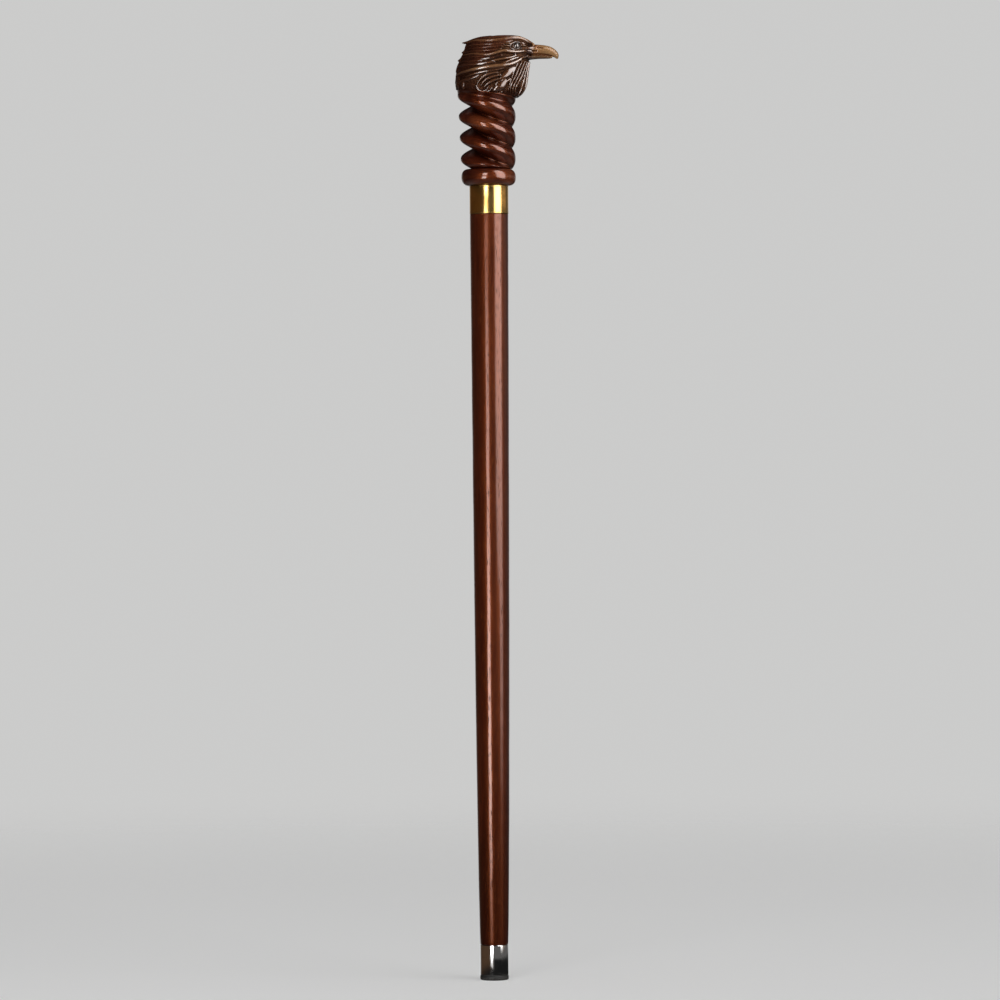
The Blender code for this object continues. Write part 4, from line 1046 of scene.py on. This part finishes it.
# Studio. A plain pale floor that fades into a pale surround, and two tall soft lamps in front: a narrow one
# a little to the left and a broad one to the right, which draw the two long highlights on the wood.
SURROUND, PALE, WHITE = (0.6, 0.6, 0.595, 1), (0.72, 0.72, 0.715, 1), (1, 1, 1, 1)
LEFT_END, RIGHT_END, DARK_END = (0.08, 0.046, 0.026), (0.12, 0.115, 0.11), (0.012, 0.012, 0.012)
UPPER_RIGHT, FLOOR_END = (0.5, 0.39, 0.32), (0.17, 0.168, 0.163)
AMBIENT, FROM_BELOW = 0.45, 0.1
FLOOR_RADIUS, FLOOR_FADE, FLOOR_CLEAR = 6, 3, 0.9
FLOOR_GLOW, FLOOR_SIDES = 0.18, 96
floor_edge = [(FLOOR_RADIUS * cos(a), FLOOR_RADIUS * sin(a), 0) for a in one_turn(FLOOR_SIDES)]
mesh = bpy.data.meshes.new("floor")
mesh.from_pydata(floor_edge, [], [tuple(range(FLOOR_SIDES))])
floor = placed("floor", mesh)
pale, tree, shader = new_material(
    "pale_floor", base_color=PALE, roughness=0.85, specular_ior_level=0.2, emission_color=WHITE
)
out_from_cane = put(tree, "VectorMath", {0: place(tree)}, operation="LENGTH")["Value"]
seen = put(tree, "LightPath", {})
pale_rays = most(seen["Is Camera Ray"], seen["Is Glossy Ray"], seen["Is Transmission Ray"])
feed(shader, alpha=eased(out_from_cane, FLOOR_FADE, FLOOR_CLEAR), emission_strength=pale_rays * FLOOR_GLOW)
floor.data.materials.append(pale)
floor.visible_glossy = floor.visible_diffuse = False

world = bpy.data.worlds.new("studio")
bpy.context.scene.world = world
world.use_nodes = True
tree = world.node_tree
tree.nodes.clear()
seen = put(tree, "LightPath", {})
mirrored = most(seen["Is Glossy Ray"], seen["Is Transmission Ray"])
way = put(tree, "SeparateXYZ", {0: put(tree, "TexCoord", {})["Generated"]})
room = mixed(eased(way[0], -0.35, 0), LEFT_END, RIGHT_END)
room = mixed(eased(way[2], -0.025, 0.045) * eased(way[0], 0.8, 0.97), room, UPPER_RIGHT)
room = mixed(eased(way[1], 0.97, 0.8), SURROUND, room)
low_right = eased(way[2], -0.06, -0.1) * eased(way[0], -0.2, 0.1)
room = mixed(most(eased(abs(way[2]), 0.1, 0.21), low_right), room, DARK_END)
room = mixed(eased(way[2], -0.25, -0.7), room, FLOOR_END)
plain = put(tree, "Background", {0: SURROUND, 1: 1})[0]
in_metal = put(tree, "Background", {0: room, 1: 1})[0]
level = eased(way[2], -0.4, 0.2, FROM_BELOW, AMBIENT)
soft = put(tree, "Background", {0: WHITE, 1: level})[0]
both = put(tree, "MixShader", {0: mirrored, 1: soft, 2: in_metal})[0]
both = put(tree, "MixShader", {0: seen["Is Camera Ray"], 1: both, 2: plain})[0]
put(tree, "OutputWorld", {0: both})

# What gloss shows of each lamp along its height: share of the height from its foot, and level.
NARROW_SHINE = [
    (0, 0.5), (0.075, 1.5), (0.1, 4.4), (0.128, 7.6), (0.156, 11.5), (0.196, 12), (0.238, 11.6),
    (0.279, 10.6), (0.3615, 6.9), (0.444, 6), (0.5126, 2.8), (0.56, 1.2), (0.602, 1.5), (0.64, 8),
    (1, 9),
]
BROAD_SHINE = [
    (0, 0), (0.03, 0), (0.0434, 0.5), (0.0616, 1.9), (0.08, 3.1), (0.098, 3.4), (0.14, 4.6),
    (0.24, 5.4), (1, 6),
]
FULL_SHINE = 20


def softbox(name, azimuth, distance, width, low, high, lean, slant, shine, light):
    """A tall soft lamp that faces the cane. Shine is what gloss shows of it, and light its level on matt
    surfaces. Lean turns it about its own middle, and slant is how far its foot is cut off at the left."""
    lean, angle = radians(lean), radians(azimuth)
    for part, radiance in (("shine", 1), ("light", light)):
        lamp = bpy.data.lights.new(name + "_" + part, "AREA")
        lamp.shape = "RECTANGLE"
        lamp.size, lamp.size_y = width, (high - low) / cos(lean)
        lamp.energy = radiance * pi * lamp.size * lamp.size_y
        made = placed(lamp.name, lamp)
        made.location = (distance * sin(angle), -distance * cos(angle), (low + high) / 2)
        made.rotation_euler = (pi / 2, lean, angle)
        made.visible_camera = False
        made.visible_glossy, made.visible_diffuse = part == "shine", part == "light"
        if part == "light":
            continue
        lamp.use_nodes = True
        tree = lamp.node_tree
        along = put(tree, "SeparateXYZ", {0: put(tree, "NewGeometry", {})["Parametric"]})
        level = put(tree, "ValToRGB", {0: along[1]})[0]
        ramp = level.output.node.color_ramp.elements
        while len(ramp) < len(shine):
            ramp.new(1)
        for element, (share, value) in zip(ramp, shine):
            element.position, element.color = share, (*[value / FULL_SHINE] * 3, 1)
        level = put(tree, "SeparateXYZ", {0: level})[0] * eased(abs(along[0] - 0.5), 0.5, 0.3, 0.25, 1)
        level = level * eased(along[0] - eased(along[1], 0.1, 0.135, slant, 0), -0.08, 0)
        feed(tree.nodes["Emission"].inputs, strength=level * FULL_SHINE)


softbox("narrow_softbox", -18, 1.6, 0.6, -0.25, 1.65, 6, 0, NARROW_SHINE, 2.4)
softbox("broad_softbox", 54, 2, 1.8, -0.18, 4.4, 0, 0.54, BROAD_SHINE, 1)

# The camera looks level at the cane's middle height.
CAMERA_PLACE, CAMERA_ROLL = (0.0086, -4.6, 0.4641), radians(-0.41)
lens = bpy.data.cameras.new("camera")
lens.lens, lens.sensor_width = 171.04, 36
lens.clip_end = 50
camera = placed("camera", lens)
camera.location = CAMERA_PLACE
ahead = Vector((0, 1, 0)).to_track_quat("-Z", "Y").to_matrix()
camera.rotation_euler = (ahead @ Matrix.Rotation(CAMERA_ROLL, 3, "Z")).to_euler()
bpy.context.scene.camera = camera
bpy.context.scene.view_settings.view_transform = "Standard"
